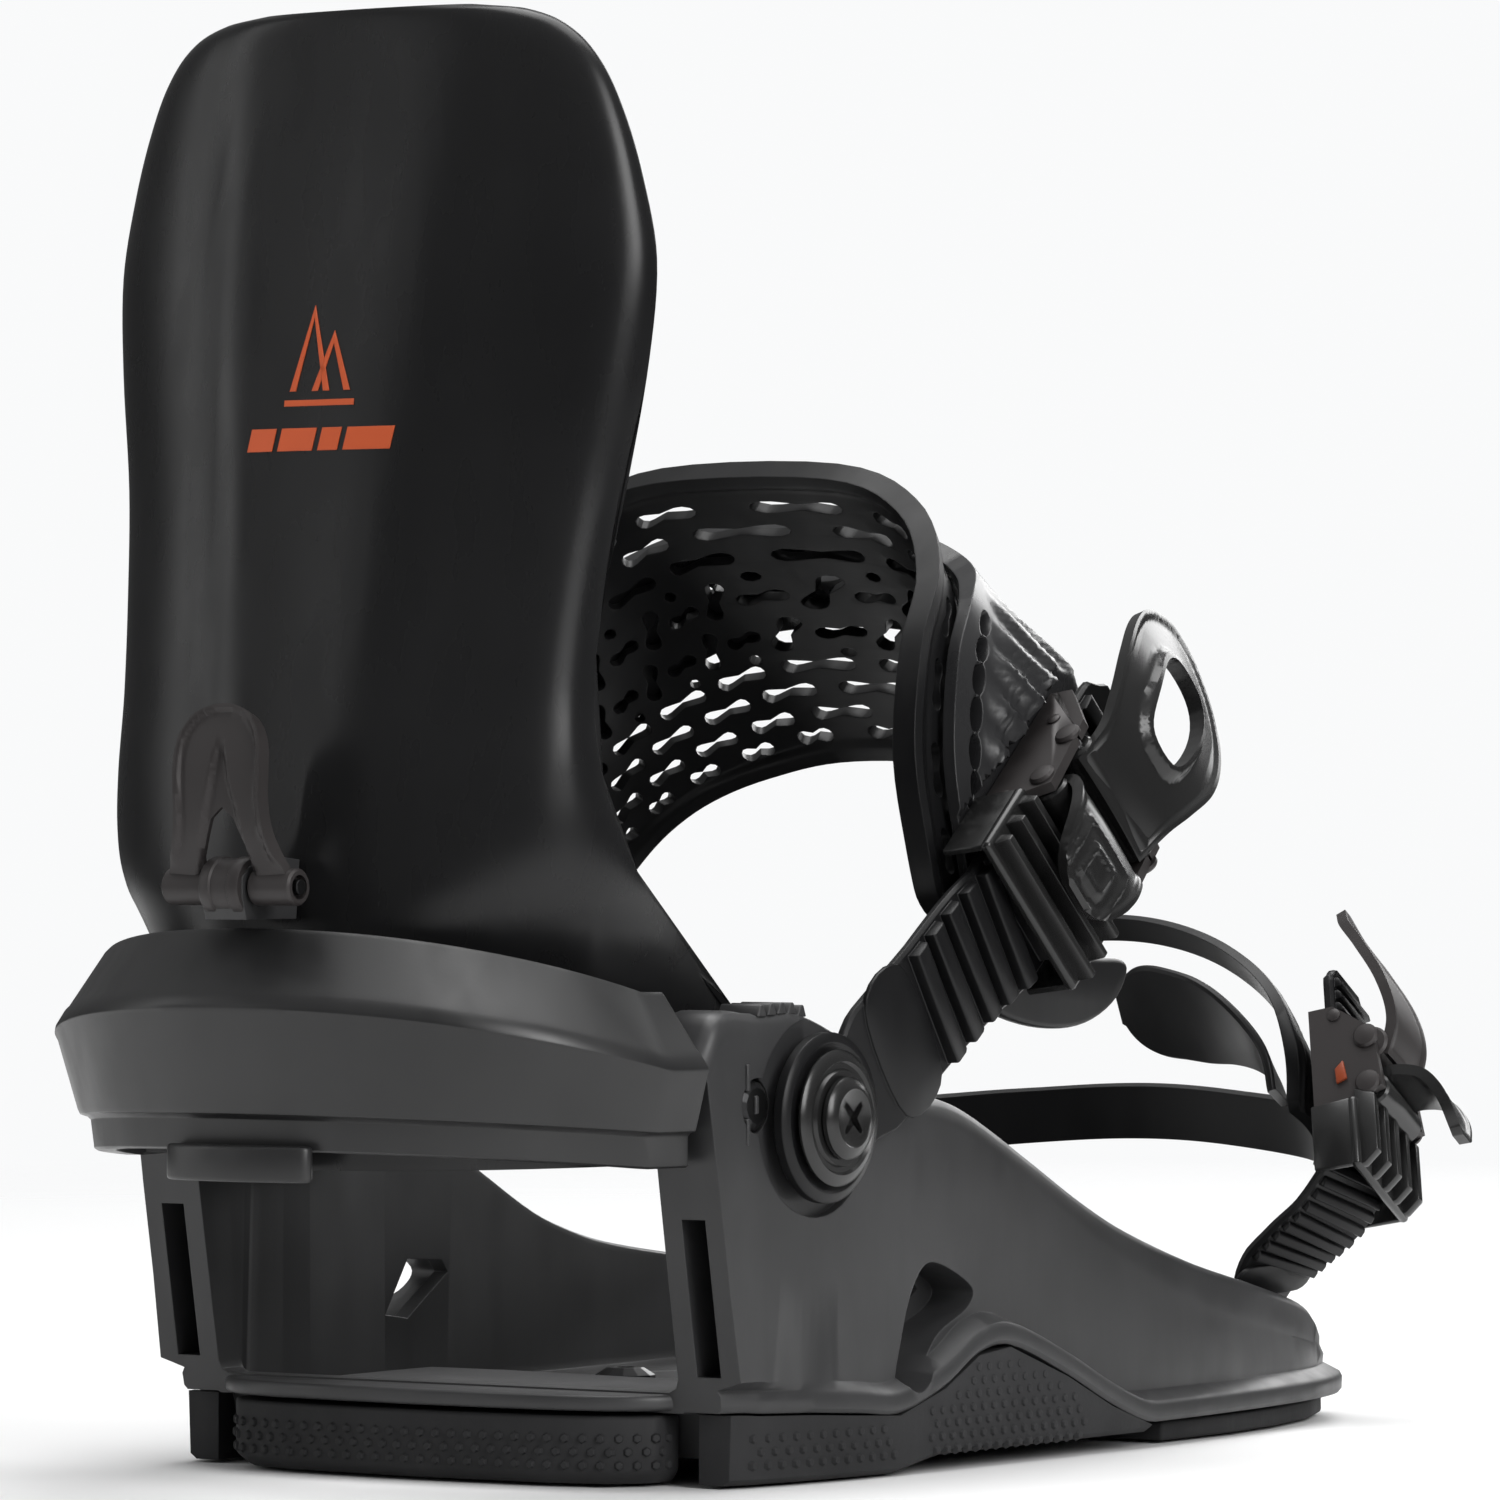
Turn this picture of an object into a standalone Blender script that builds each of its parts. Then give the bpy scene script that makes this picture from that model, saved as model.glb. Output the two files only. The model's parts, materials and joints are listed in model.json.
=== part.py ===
"""A strap-in snowboard binding for the right foot, as an assembly of separate pieces.

The row frame is metres, +Z up, +Y towards the toes and +X towards the rider's right, the side of the ratchet
buckles. The origin is the centre of the mounting disc on its underside, which rests on the board. Lengths in
this file are written in millimetres and turned into metres where a mesh is made.
"""

import math

import bmesh
import bpy
from mathutils import Matrix, Vector

MM = 0.001

# Clearances
GAP = 0.4  # between two pieces that don't move against each other
RUN = 0.5  # between two pieces that do

# Baseplate
FLOOR_BOTTOM, FLOOR_TOP = 4.0, 10.0
WALL_INNER = 50.5  # half the free width between the side walls
WALL_THICKNESS = 12.5
ARM_TOP = 82.0
DISC_TEETH = 36
SCREW_SPACING = 40.0  # the board's inserts stand on this square
DISC_RADIUS = SCREW_SPACING * math.sqrt(0.5) + 13.7  # holds the screws, with the toothed rim outside them
BED_THICKNESS = 3.6

# The common axis of both strap bolts and the highback, across the binding
PIVOT_Y, PIVOT_Z = -81.0, 63.5
PIVOT_RADIUS = 3.2
EAR_RADIUS = 12.5

# Heel loop
LOOP_CENTRE_Y = -108.0
LOOP_REACH = 65.5  # outermost half width
LOOP_DEPTH = 62.0  # how far it stands behind LOOP_CENTRE_Y
LOOP_POWER = 2.25
LOOP_WALL = 11.0
LOOP_TONGUE = 3.8
LOOP_TONGUE_FRONT = -64.0
LOOP_SCREW_Y, LOOP_SCREW_Z = -98.5, 66.0

# Highback
BACK_THICKNESS = 3.6
BACK_BOTTOM, BACK_TOP = 55.5, 257.0

# Straps
LADDER_WIDTH, LADDER_THICKNESS = 25.5, 2.6
LADDER_PITCH, LADDER_TOOTH = 6.3, 1.9
PAD_THICKNESS = 4.6
PAD_SINK = 2.6  # how far the pad lies inside the curves that set its edges
FRAME_THICKNESS = 2.4
FRAME_SWELL = 7.0
TONGUE_THICKNESS = 2.0
TOE_LADDER_WIDTH = 19.0
TOE_LADDER_PITCH, TOE_LADDER_TOOTH = 4.2, 1.3
TOE_CAP_THICKNESS = 3.2

# Ratchet buckles
BRACKET_WALL = 2.0
PIN_RADIUS = 1.5
HUB_RADIUS = 3.4

FINISHES = {
    "nylon": ((0.030, 0.030, 0.031, 1), 0.42, 0.0),
    "nylon_gloss": ((0.012, 0.012, 0.013, 1), 0.22, 0.0),
    "rubber": ((0.020, 0.020, 0.021, 1), 0.78, 0.0),
    "foam": ((0.045, 0.045, 0.047, 1), 0.9, 0.0),
    "flexible": ((0.016, 0.016, 0.017, 1), 0.36, 0.0),
    "alloy_black": ((0.035, 0.033, 0.031, 1), 0.25, 0.9),
    "steel": ((0.32, 0.32, 0.33, 1), 0.3, 1.0),
    "accent": ((0.42, 0.06, 0.02, 1), 0.5, 0.0),
}


# ---------------------------------------------------------------- helpers


def finish_of(name):
    """The material of that name, made once."""
    found = bpy.data.materials.get(name)
    if found:
        return found
    colour, roughness, metallic = FINISHES[name]
    material = bpy.data.materials.new(name)
    material.use_nodes = True
    shader = material.node_tree.nodes["Principled BSDF"]
    shader.inputs["Base Color"].default_value = colour
    shader.inputs["Roughness"].default_value = roughness
    shader.inputs["Metallic"].default_value = metallic
    return material


def add(name, mesh, finish, joint=None, helper=False):
    """Links a mesh, in millimetres, as an object whose origin is on its joint's axis."""
    origin = Vector(joint) if joint else Vector((0, 0, 0))
    work = bmesh.new()
    work.from_mesh(mesh)
    bmesh.ops.transform(work, matrix=Matrix.Scale(MM, 4) @ Matrix.Translation(-origin), verts=work.verts)
    bmesh.ops.recalc_face_normals(work, faces=work.faces)
    work.to_mesh(mesh)
    work.free()
    obj = bpy.data.objects.new(name, mesh)
    obj.location = origin * MM
    bpy.context.scene.collection.objects.link(obj)
    if finish:
        mesh.materials.append(finish_of(finish))
    mesh.shade_smooth()
    mesh.set_sharp_from_angle(angle=math.radians(35))
    if helper:
        obj.hide_render = True
        obj.display_type = "WIRE"
    return obj


def ring_solid(name, rings, finish, joint=None, helper=False, closed=False):
    """A solid skinned over rings of points, capped at both ends unless it closes on itself."""
    mesh = bpy.data.meshes.new(name)
    count = len(rings[0])
    points = [tuple(p) for ring in rings for p in ring]
    faces = []
    for i in range(len(rings) if closed else len(rings) - 1):
        near, far = i * count, (i + 1) % len(rings) * count
        for k in range(count):
            after = (k + 1) % count
            faces.append((near + k, near + after, far + after, far + k))
    if not closed:
        faces.append(tuple(range(count)))
        faces.append(tuple(range(len(points) - count, len(points))))
    mesh.from_pydata(points, [], faces)
    return add(name, mesh, finish, joint, helper)


def prism(name, outline, axis, low, high, finish=None, joint=None, helper=False):
    """An outline pushed along an axis. Outline points are in the other two axes, in X, Y, Z order."""
    place = {
        "X": lambda a, b, c: (c, a, b),
        "Y": lambda a, b, c: (a, c, b),
        "Z": lambda a, b, c: (a, b, c),
    }[axis]
    rings = [[place(a, b, c) for a, b in outline] for c in (low, high)]
    return ring_solid(name, rings, finish, joint, helper)


def frame_matrix(origin, along, outward):
    """Local x along, local z outward, local y across, at origin."""
    along = Vector(along).normalized()
    across = Vector(outward).cross(along).normalized()
    outward = along.cross(across)
    turn = Matrix((along, across, outward)).transposed().to_4x4()
    return Matrix.Translation(Vector(origin)) @ turn


def turned(name, profile, origin, axis, finish, sides=18, joint=None, helper=False):
    """A solid of revolution. Profile is (radius, distance along the axis), closed through the axis."""
    axis = Vector(axis).normalized()
    side = Vector((0, 0, 1)) if abs(axis.z) < 0.9 else Vector((0, 1, 0))
    across = axis.cross(side).normalized()
    side = across.cross(axis)
    rings = []
    for radius, distance in profile:
        ring = []
        for k in range(sides):
            angle = math.tau * k / sides
            spoke = side * math.cos(angle) + across * math.sin(angle)
            ring.append(Vector(origin) + axis * distance + spoke * radius)
        rings.append(ring)
    return ring_solid(name, rings, finish, joint, helper)


def tube(name, inner, outer, low, high, origin, axis, finish, sides=18, joint=None):
    """A ring with a hole through it: a washer, a bush or a spacer."""
    axis = Vector(axis).normalized()
    side = Vector((0, 0, 1)) if abs(axis.z) < 0.9 else Vector((0, 1, 0))
    across = axis.cross(side).normalized()
    side = across.cross(axis)
    rings = []
    for k in range(sides):
        angle = math.tau * k / sides
        spoke = side * math.cos(angle) + across * math.sin(angle)
        corners = ((inner, low), (outer, low), (outer, high), (inner, high))
        rings.append([Vector(origin) + axis * h + spoke * r for r, h in corners])
    return ring_solid(name, rings, finish, joint, closed=True)


def boolean(obj, tool, operation):
    """Cuts a helper out of an object, or joins it on."""
    modifier = obj.modifiers.new(f"{operation} {tool.name}", "BOOLEAN")
    modifier.operation = operation
    modifier.solver = "EXACT"
    modifier.object = tool


def cut(obj, *tools):
    for tool in tools:
        boolean(obj, tool, "DIFFERENCE")


def join(obj, *tools):
    for tool in tools:
        boolean(obj, tool, "UNION")


def smooth_table(rows, at):
    """Reads a table of (key, value, ...) at a key between its rows, with eased steps."""
    if at <= rows[0][0]:
        return rows[0][1:]
    for low, high in zip(rows, rows[1:]):
        if at <= high[0]:
            share = (at - low[0]) / (high[0] - low[0])
            return tuple(a + (b - a) * share for a, b in zip(low[1:], high[1:]))
    return rows[-1][1:]


def catmull(points, samples):
    """A smooth curve through points, with so many samples on each span."""
    points = [Vector(p) for p in points]
    ends = [points[0] * 2 - points[1], *points, points[-1] * 2 - points[-2]]
    curve = []
    for i in range(1, len(ends) - 2):
        a, b, c, d = ends[i - 1 : i + 3]
        for k in range(samples):
            t = k / samples
            curve.append(
                0.5 * (b * 2 + (c - a) * t + (a * 2 - b * 5 + c * 4 - d) * t * t + (b * 3 - a - c * 3 + d) * t**3)
            )
    curve.append(points[-1])
    return curve


def mirrored(points):
    """The same points on the other side of the binding."""
    return [Vector((-p[0], p[1], p[2])) for p in points]


# ---------------------------------------------------------------- baseplate

# y at the foot, y at the crest, underside, crest, outer foot, outer crest, inner crest, floor underside and top,
# and how much lower the left wall's crest is
WALL_STATIONS = (
    (-103.5, -114.5, 12.7, 75.0, 58.6, 62.6, 50.5, 12.4, 16.0, 0.0),
    (-101.5, -109.0, 12.7, 82.0, 59.6, 62.6, 50.5, 12.4, 16.0, 0.0),
    (-98.0, -97.0, 12.6, 82.0, 61.0, 62.6, 50.5, 12.4, 16.0, 0.0),
    (-96.0, -93.0, 12.4, 82.0, 61.8, 62.7, 50.5, 4.0, 10.0, 0.0),
    (-84.0, -84.0, 12.0, 82.0, 64.4, 63.0, 50.5, 4.0, 10.0, 0.0),
    (-70.0, -70.0, 11.2, 77.5, 66.4, 63.0, 50.5, 4.0, 10.0, 2.0),
    (-59.0, -59.0, 10.6, 72.0, 67.0, 63.0, 50.5, 4.0, 10.0, 5.0),
    (-45.0, -45.0, 14.6, 67.0, 67.4, 62.6, 50.6, 4.0, 10.0, 8.0),
    (-34.0, -34.0, 20.0, 65.0, 67.6, 62.2, 50.8, 4.0, 10.0, 10.0),
    (-24.0, -24.0, 21.0, 61.5, 67.8, 62.0, 51.0, 4.0, 10.0, 11.0),
    (-5.0, -5.0, 14.6, 53.0, 68.2, 61.8, 51.4, 4.0, 10.0, 11.5),
    (10.0, 10.0, 8.4, 45.8, 68.3, 62.2, 52.0, 4.0, 10.0, 9.0),
    (24.0, 24.0, 4.2, 40.0, 68.2, 62.8, 53.0, 4.0, 10.0, 6.0),
    (50.0, 50.0, 4.2, 32.6, 67.0, 62.4, 54.0, 4.0, 10.0, 2.0),
    (80.0, 80.0, 4.2, 26.6, 64.0, 59.6, 52.0, 4.0, 10.0, 0.0),
    (101.0, 101.0, 4.2, 22.4, 60.0, 55.6, 47.0, 4.0, 10.0, 0.0),
    (117.0, 117.0, 4.2, 17.8, 54.0, 49.0, 40.0, 4.0, 10.0, 0.0),
    (125.0, 125.0, 4.2, 14.6, 47.0, 42.0, 33.0, 4.0, 9.6, 0.0),
    (129.0, 129.0, 4.2, 11.6, 40.0, 36.0, 27.0, 4.0, 9.2, 0.0),
)


def wall_section(station, dropped=False):
    """The baseplate's right half section at one station, from the floor's underside round to its top."""
    y_foot, y_crest, under, crest, foot, outer, inner, low, top, drop = station
    if dropped:
        crest -= drop
    step = min(inner + 1.5, foot - 8)

    def y_at(z):
        return y_foot + (y_crest - y_foot) * (z - under) / (crest - under)

    corners = [
        (step - 24.0, low),
        (step, low),
        (step + 0.4, under),
        (foot, under),
        (foot + 0.3, under + 3.2),
        (outer + 0.8, under + 5.4),
        (outer + (0.5 if crest > 30 else 0.2), under + 0.55 * (crest - under)),
        (outer, crest - 1.6),
        (outer - 1.6, crest),
        (inner + 1.2, crest),
        (inner, crest - 1.2),
        (inner - 0.2, top + 1.4),
        (inner - 1.8, top),
        (step - 24.0, top),
    ]
    return [Vector((x, y_at(z), z)) for x, z in corners]


def make_baseplate():
    rings = []
    for station in WALL_STATIONS:
        rings.append(wall_section(station) + mirrored(reversed(wall_section(station, dropped=True))))
    base = ring_solid("baseplate", rings, "nylon")
    bow = [(49.5, -100.0), (48.0, -105.0), (42.0, -111.5), (30.0, -115.0), (0.0, -116.6), (-30.0, -115.0),
           (-42.0, -111.5), (-48.0, -105.0), (-49.5, -100.0)]
    join(base, prism("helper_heel_bow", bow, "Z", 12.8, 15.6, helper=True))
    # the disc drops into a conical seat
    seat = DISC_RADIUS + RUN + 0.3
    well = turned(
        "helper_disc_seat",
        [(seat - 6, -1), (seat - 6, 5.2), (seat, 7.2), (seat, 14)],
        (0, 0, 0), (0, 0, 1), None, 48, helper=True,
    )
    cut(base, well)
    for side, label in ((1, "right"), (-1, "left")):
        low, high = sorted((side * 54.2, side * 59.6))
        slot = [(-130.0, 19.0), (-84.0, 19.0), (-92.0, 46.5), (-132.0, 46.5)]
        cut(base, prism(f"helper_rear_slot_{label}", slot, "X", low, high, helper=True))
        pocket = [
            (-56.0, 16.5), (-52.5, 25.0), (-49.5, 31.5), (-45.0, 36.0), (-39.0, 36.0), (-30.0, 31.0),
            (-31.5, 28.5), (-41.0, 23.5), (-46.5, 18.5), (-52.0, 15.0),
        ]
        low, high = sorted((side * (WALL_INNER + 3.4), side * 75.0))
        cut(base, prism(f"helper_side_pocket_{label}", pocket, "X", low, high, helper=True))
        peep = [(-52.0, 26.5), (-48.4, 33.0), (-42.0, 33.0), (-39.0, 27.5), (-45.0, 24.0)]
        low, high = sorted((side * 40.0, side * 76.0))
        cut(base, prism(f"helper_peep_hole_{label}", peep, "X", low, high, helper=True))
        cut(base, bore_of(f"helper_wall_bore_{label}", side, 46.0, 70.0))
    return base


def bore_of(name, side, near, far, radius=None):
    """A cutter along the pivot axis."""
    return turned(name, [(radius or PIVOT_RADIUS + RUN, near), (radius or PIVOT_RADIUS + RUN, far)],
                  (0, PIVOT_Y, PIVOT_Z), (side, 0, 0), None, 18, helper=True)


def make_bushings():
    """The rubber feet under the baseplate."""
    heel = [(46.6, -98.0 - RUN), (46.0, -105.0), (40.5, -111.0), (29.0, -114.2), (0.0, -115.8), (-29.0, -114.2),
            (-40.5, -111.0), (-46.0, -105.0), (-46.6, -98.0 - RUN)]
    ring_solid(
        "heel_bushing",
        [
            [Vector((x * 0.95, y * 0.985, 0)) for x, y in heel],
            [Vector((x, y, 2.0)) for x, y in heel],
            [Vector((x, y, 12.0)) for x, y in heel],
        ],
        "rubber",
    )
    for side, label in ((1, "right"), (-1, "left")):
        rings = []
        for station in WALL_STATIONS[1:13]:
            y, under, foot, inner = station[0], station[2], station[4], station[6]
            lift = 0.0 if y < -58 else 2.4
            step = min(inner + 1.5, foot - 8) + 1.0
            high = max(under - GAP, FLOOR_BOTTOM - GAP)
            section = [(step, lift), (foot - 2.0, lift), (foot - 0.6, lift + 1.0), (foot - 0.2, high), (step, high)]
            rings.append([Vector((side * x, y, z)) for x, z in section])
        ring_solid(f"side_bushing_{label}", rings, "rubber")
    toe = [(64.0, 34.0), (64.0, 60.0), (61.5, 80.0), (56.5, 101.0), (49.5, 117.0), (40.0, 127.0), (22.0, 131.0)]
    toe = toe + [(-x, y) for x, y in reversed(toe)] + [(-44.0, 34.0), (-42.0, 52.0), (42.0, 52.0), (44.0, 34.0)]
    prism("toe_bushing", toe, "Z", 0.0, FLOOR_BOTTOM - GAP, "rubber")


def make_beds():
    """The foam that the boot's sole stands on."""
    low, high = FLOOR_TOP + GAP, FLOOR_TOP + GAP + BED_THICKNESS
    heel = [(46.0, -96.0), (47.5, -60.0), (47.5, -44.0), (30.0, -43.5), (0.0, -46.5), (-30.0, -43.5), (-47.5, -44.0),
            (-47.5, -60.0), (-46.0, -96.0)]
    prism("heel_bed", heel, "Z", low, high, "foam")


def make_disc():
    profile = [
        (DISC_RADIUS - 6, 0.0), (DISC_RADIUS - 6, 5.0), (DISC_RADIUS, 7.4), (DISC_RADIUS, 9.6), (DISC_RADIUS - 1.5, 10.4),
        (DISC_RADIUS - 4, 10.4), (DISC_RADIUS - 5, 8.6),
    ]
    disc = turned("mounting_disc", profile, (0, 0, 0), (0, 0, 1), "nylon", DISC_TEETH)
    half = SCREW_SPACING / 2
    for i, (sx, sy) in enumerate(((1, 1), (-1, 1), (-1, -1), (1, -1)), 1):
        x, y = sx * half, sy * half
        slot = [(x - 5, y - 3.3), (x + 5, y - 3.3), (x + 5, y + 3.3), (x - 5, y + 3.3)]
        cut(disc, prism(f"helper_disc_slot_{i}", slot, "Z", -2, 12, helper=True))
        tube(f"disc_washer_{i}", 3.5, 6.6, 8.6 + GAP, 10.2, (x, y, 0), (0, 0, 1), "steel", 16)
        screw = [(2.9, 1.0), (2.9, 10.6), (5.6, 10.6), (5.6, 12.2), (3.4, 13.6), (1.8, 13.6), (1.5, 11.8)]
        turned(f"disc_screw_{i}", screw, (x, y, 0), (0, 0, 1), "steel", 12)


def make_toe_ramp():
    """The ramp under the toes slides to suit the boot's length, held by two screws in slots."""
    low = FLOOR_TOP + GAP
    rear, front, travel = 48.0, 120.0, 4.0
    side = [(rear, low), (front - 6, low), (front, low + 3.0), (front - 3, low + 8.6), (front - 12, low + 9.0),
            (rear + 2, low + 2.6)]
    ramp = prism("toe_ramp", side, "X", -32.0, 32.0, "nylon")
    top = [(rear + 4, low + 3.3), (front - 11.8, low + 9.5), (front - 3.4, low + 9.1), (front - 3.4, low + 11.4),
           (front - 12, low + 11.8), (rear + 4, low + 5.4)]
    pad = prism("toe_ramp_pad", top, "X", -30.0, 30.0, "foam")
    screw_y = (rear + front) / 2 - 8
    for x, label in ((18.0, "right"), (-18.0, "left")):
        near, far = screw_y - 2.6 - travel, screw_y + 2.6 + travel
        slot = [(x - 2.6, near), (x + 2.6, near), (x + 2.6, far), (x - 2.6, far)]
        cut(ramp, prism(f"helper_ramp_slot_{label}", slot, "Z", low - 1, low + 20, helper=True))
        near, far = screw_y - 4.8 - travel, screw_y + 4.8 + travel
        slot = [(x - 4.8, near), (x + 4.8, near), (x + 4.8, far), (x - 4.8, far)]
        cut(pad, prism(f"helper_pad_slot_{label}", slot, "Z", low, low + 20, helper=True))
        head = low + 2.6 + (screw_y + 5 + travel - rear) * 0.111 + GAP
        screw = [(2.0, low - 0.1), (2.0, head), (4.2, head), (4.2, head + 1.2), (2.6, head + 2.0)]
        turned(f"toe_ramp_screw_{label}", screw, (x, screw_y, 0), (0, 0, 1), "steel", 12)


# ---------------------------------------------------------------- heel loop


def superellipse(half_width, depth, power, share):
    """A point on a rear-facing half superellipse. Share runs from 0 on the right to 1 on the left."""
    angle = math.pi * share
    c, s = math.cos(angle), math.sin(angle)
    x = half_width * math.copysign(abs(c) ** (2 / power), c)
    return x, -depth * abs(s) ** (2 / power)


def wall_rear(z):
    """y of the wall's slanting rear edge at a height."""
    y_foot, y_crest, under, crest = WALL_STATIONS[0][:4]
    return y_foot + (y_crest - y_foot) * (z - under) / (crest - under)


def loop_section(share):
    """The loop's section where it stands behind the walls."""
    rise = math.sin(math.pi * share) ** 0.9
    top, bottom = 82.0 + 15.0 * rise, 54.5 + 4.5 * rise
    corners = [
        (LOOP_WALL, bottom), (7.0, bottom), (5.4, bottom + 5.6), (4.4, bottom + 6.4), (0.0, top - 13.0), (0.6, top - 9.6),
        (8.6, top), (LOOP_WALL - 0.4, top),
    ]
    ring = []
    for inward, z in corners:
        x, y = superellipse(LOOP_REACH - inward, LOOP_DEPTH - inward, LOOP_POWER, share)
        ring.append(Vector((x, LOOP_CENTRE_Y + y, z)))
    return ring


def loop_tongue(side):
    """The thin tongue inside a wall, and the shoulder that carries it out to the loop."""
    outer = WALL_INNER - GAP
    inner = outer - LOOP_TONGUE
    heights = (54.5, 54.5, 60.1, 60.9, 69.0, 72.4, 79.5, 79.5)
    rings = []
    for y, reach in ((LOOP_TONGUE_FRONT, outer), (-112.0, outer)):
        xs = (inner, reach, reach, reach, reach, reach, reach, inner)
        rings.append([Vector((side * x, y, z)) for x, z in zip(xs, heights)])
    shoulder = []
    xs = (inner, 58.0, 59.6, 60.6, 65.0, 64.4, 56.4, inner)
    for x, z in zip(xs, (54.5, 54.5, 60.1, 60.9, 69.0, 72.4, 82.0, 82.0)):
        shoulder.append(Vector((side * x, wall_rear(z) - GAP - 1.6, z)))
    rear = [Vector((p.x, p.y - 0.0, p.z)) for p in shoulder]
    front = [Vector((side * x, wall_rear(z) - GAP - 1.2, z)) for x, z in
             zip((inner, outer, outer, outer, outer, outer, outer, inner), heights)]
    return [rings[0], front, rear]


def make_heel_loop():
    steps = 26
    right = loop_tongue(1)
    left = loop_tongue(-1)
    low, high = 0.075, 0.925
    middle = [loop_section(low + (high - low) * k / steps) for k in range(steps + 1)]
    loop = ring_solid("heel_loop", [*right, *middle, *reversed(left)], "nylon")
    base = bpy.data.objects["baseplate"]
    for side, label in ((1, "right"), (-1, "left")):
        at = (0, LOOP_SCREW_Y, LOOP_SCREW_Z)
        screw = [(2.4, WALL_INNER - 3.4), (2.4, 60.0), (4.4, 60.0), (4.4, 62.0), (3.2, 62.8)]
        turned(f"loop_screw_{label}", screw, at, (side, 0, 0), "steel", 14)
        bore = [(2.4 + GAP, 40.0), (2.4 + GAP, 59.6), (4.4 + GAP, 59.6), (4.4 + GAP, 70.0)]
        tool = turned(f"helper_loop_screw_bore_{label}", bore, at, (side, 0, 0), None, 14, helper=True)
        cut(loop, tool, bore_of(f"helper_tongue_bore_{label}", side, 40.0, 70.0))
        cut(base, tool)
    return loop


# ---------------------------------------------------------------- highback

# height, half width, y of the side edges, y of the centre line, roundness of the section
BACK_STATIONS = (
    (55.5, 45.2, -72.0, -155.0, 2.5),
    (63.5, 45.6, -68.5, -155.8, 2.6),
    (74.0, 45.8, -71.0, -154.6, 2.6),
    (82.0, 45.8, -80.0, -153.6, 2.6),
    (89.0, 47.2, -92.4, -152.8, 2.6),
    (97.0, 49.8, -105.2, -152.0, 2.55),
    (104.0, 51.8, -116.4, -151.2, 2.5),
    (112.0, 52.0, -123.2, -150.2, 2.45),
    (124.0, 50.6, -128.0, -148.6, 2.4),
    (138.0, 49.6, -128.8, -146.6, 2.35),
    (155.0, 50.6, -126.8, -144.4, 2.3),
    (174.0, 53.0, -123.4, -141.9, 2.25),
    (195.0, 56.2, -121.6, -139.4, 2.2),
    (212.0, 57.2, -120.8, -137.2, 2.2),
    (226.0, 54.6, -121.2, -135.0, 2.2),
    (238.0, 50.8, -121.8, -133.2, 2.2),
    (247.0, 46.2, -122.6, -131.8, 2.2),
    (253.0, 40.0, -123.6, -130.8, 2.2),
    (256.0, 32.0, -124.6, -130.2, 2.2),
    (257.0, 23.0, -125.6, -129.8, 2.2),
)


def back_ring(station, thickness, outset=0.0, count=17):
    """A closed plan section of the highback shell, or of a layer on its inside."""
    z, half, y_edge, y_centre, power = station
    outer, inner = [], []
    depth = y_edge - y_centre
    for k in range(count):
        share = k / (count - 1)
        x, y = superellipse(half - outset, depth - outset, power, share)
        outer.append(Vector((x, y_edge + y, z)))
        x, y = superellipse(half - outset - thickness, max(depth - outset - thickness, 0.6), power, share)
        inner.append(Vector((x, y_edge + y, z)))
    return outer + inner[::-1]


def make_highback():
    joint = (0, PIVOT_Y, PIVOT_Z)
    rings = []
    for station in BACK_STATIONS:
        thickness = min(BACK_THICKNESS, (station[2] - station[3]) * 0.8)
        rings.append(back_ring(station, thickness))
    back = ring_solid("highback", rings, "nylon_gloss", joint)
    for side, label in ((1, "right"), (-1, "left")):
        cut(back, bore_of(f"helper_ear_bore_{label}", side, 30.0, 60.0))
        clear = turned(f"helper_loop_screw_clear_{label}", [(4.0, 30.0), (4.0, 60.0)],
                       (0, LOOP_SCREW_Y, LOOP_SCREW_Z), (side, 0, 0), None, 14, helper=True)
    pad_rings = []
    for row in BACK_STATIONS[9:17]:
        z, half, y_edge, y_centre, power = row
        narrow = (z, half - 5.0, y_edge - 1.0, y_centre, power)
        pad_rings.append(back_ring(narrow, 3.4, outset=BACK_THICKNESS + GAP, count=13))
    ring_solid("highback_pad", pad_rings, "foam", joint)
    return back


LEAN_AXIS = Vector((0.0, -165.0, 104.2))
LEAN_RADIUS = 3.0
LEAN_KNUCKLE = 4.4
LEAN_LENGTH = 13.6


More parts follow.
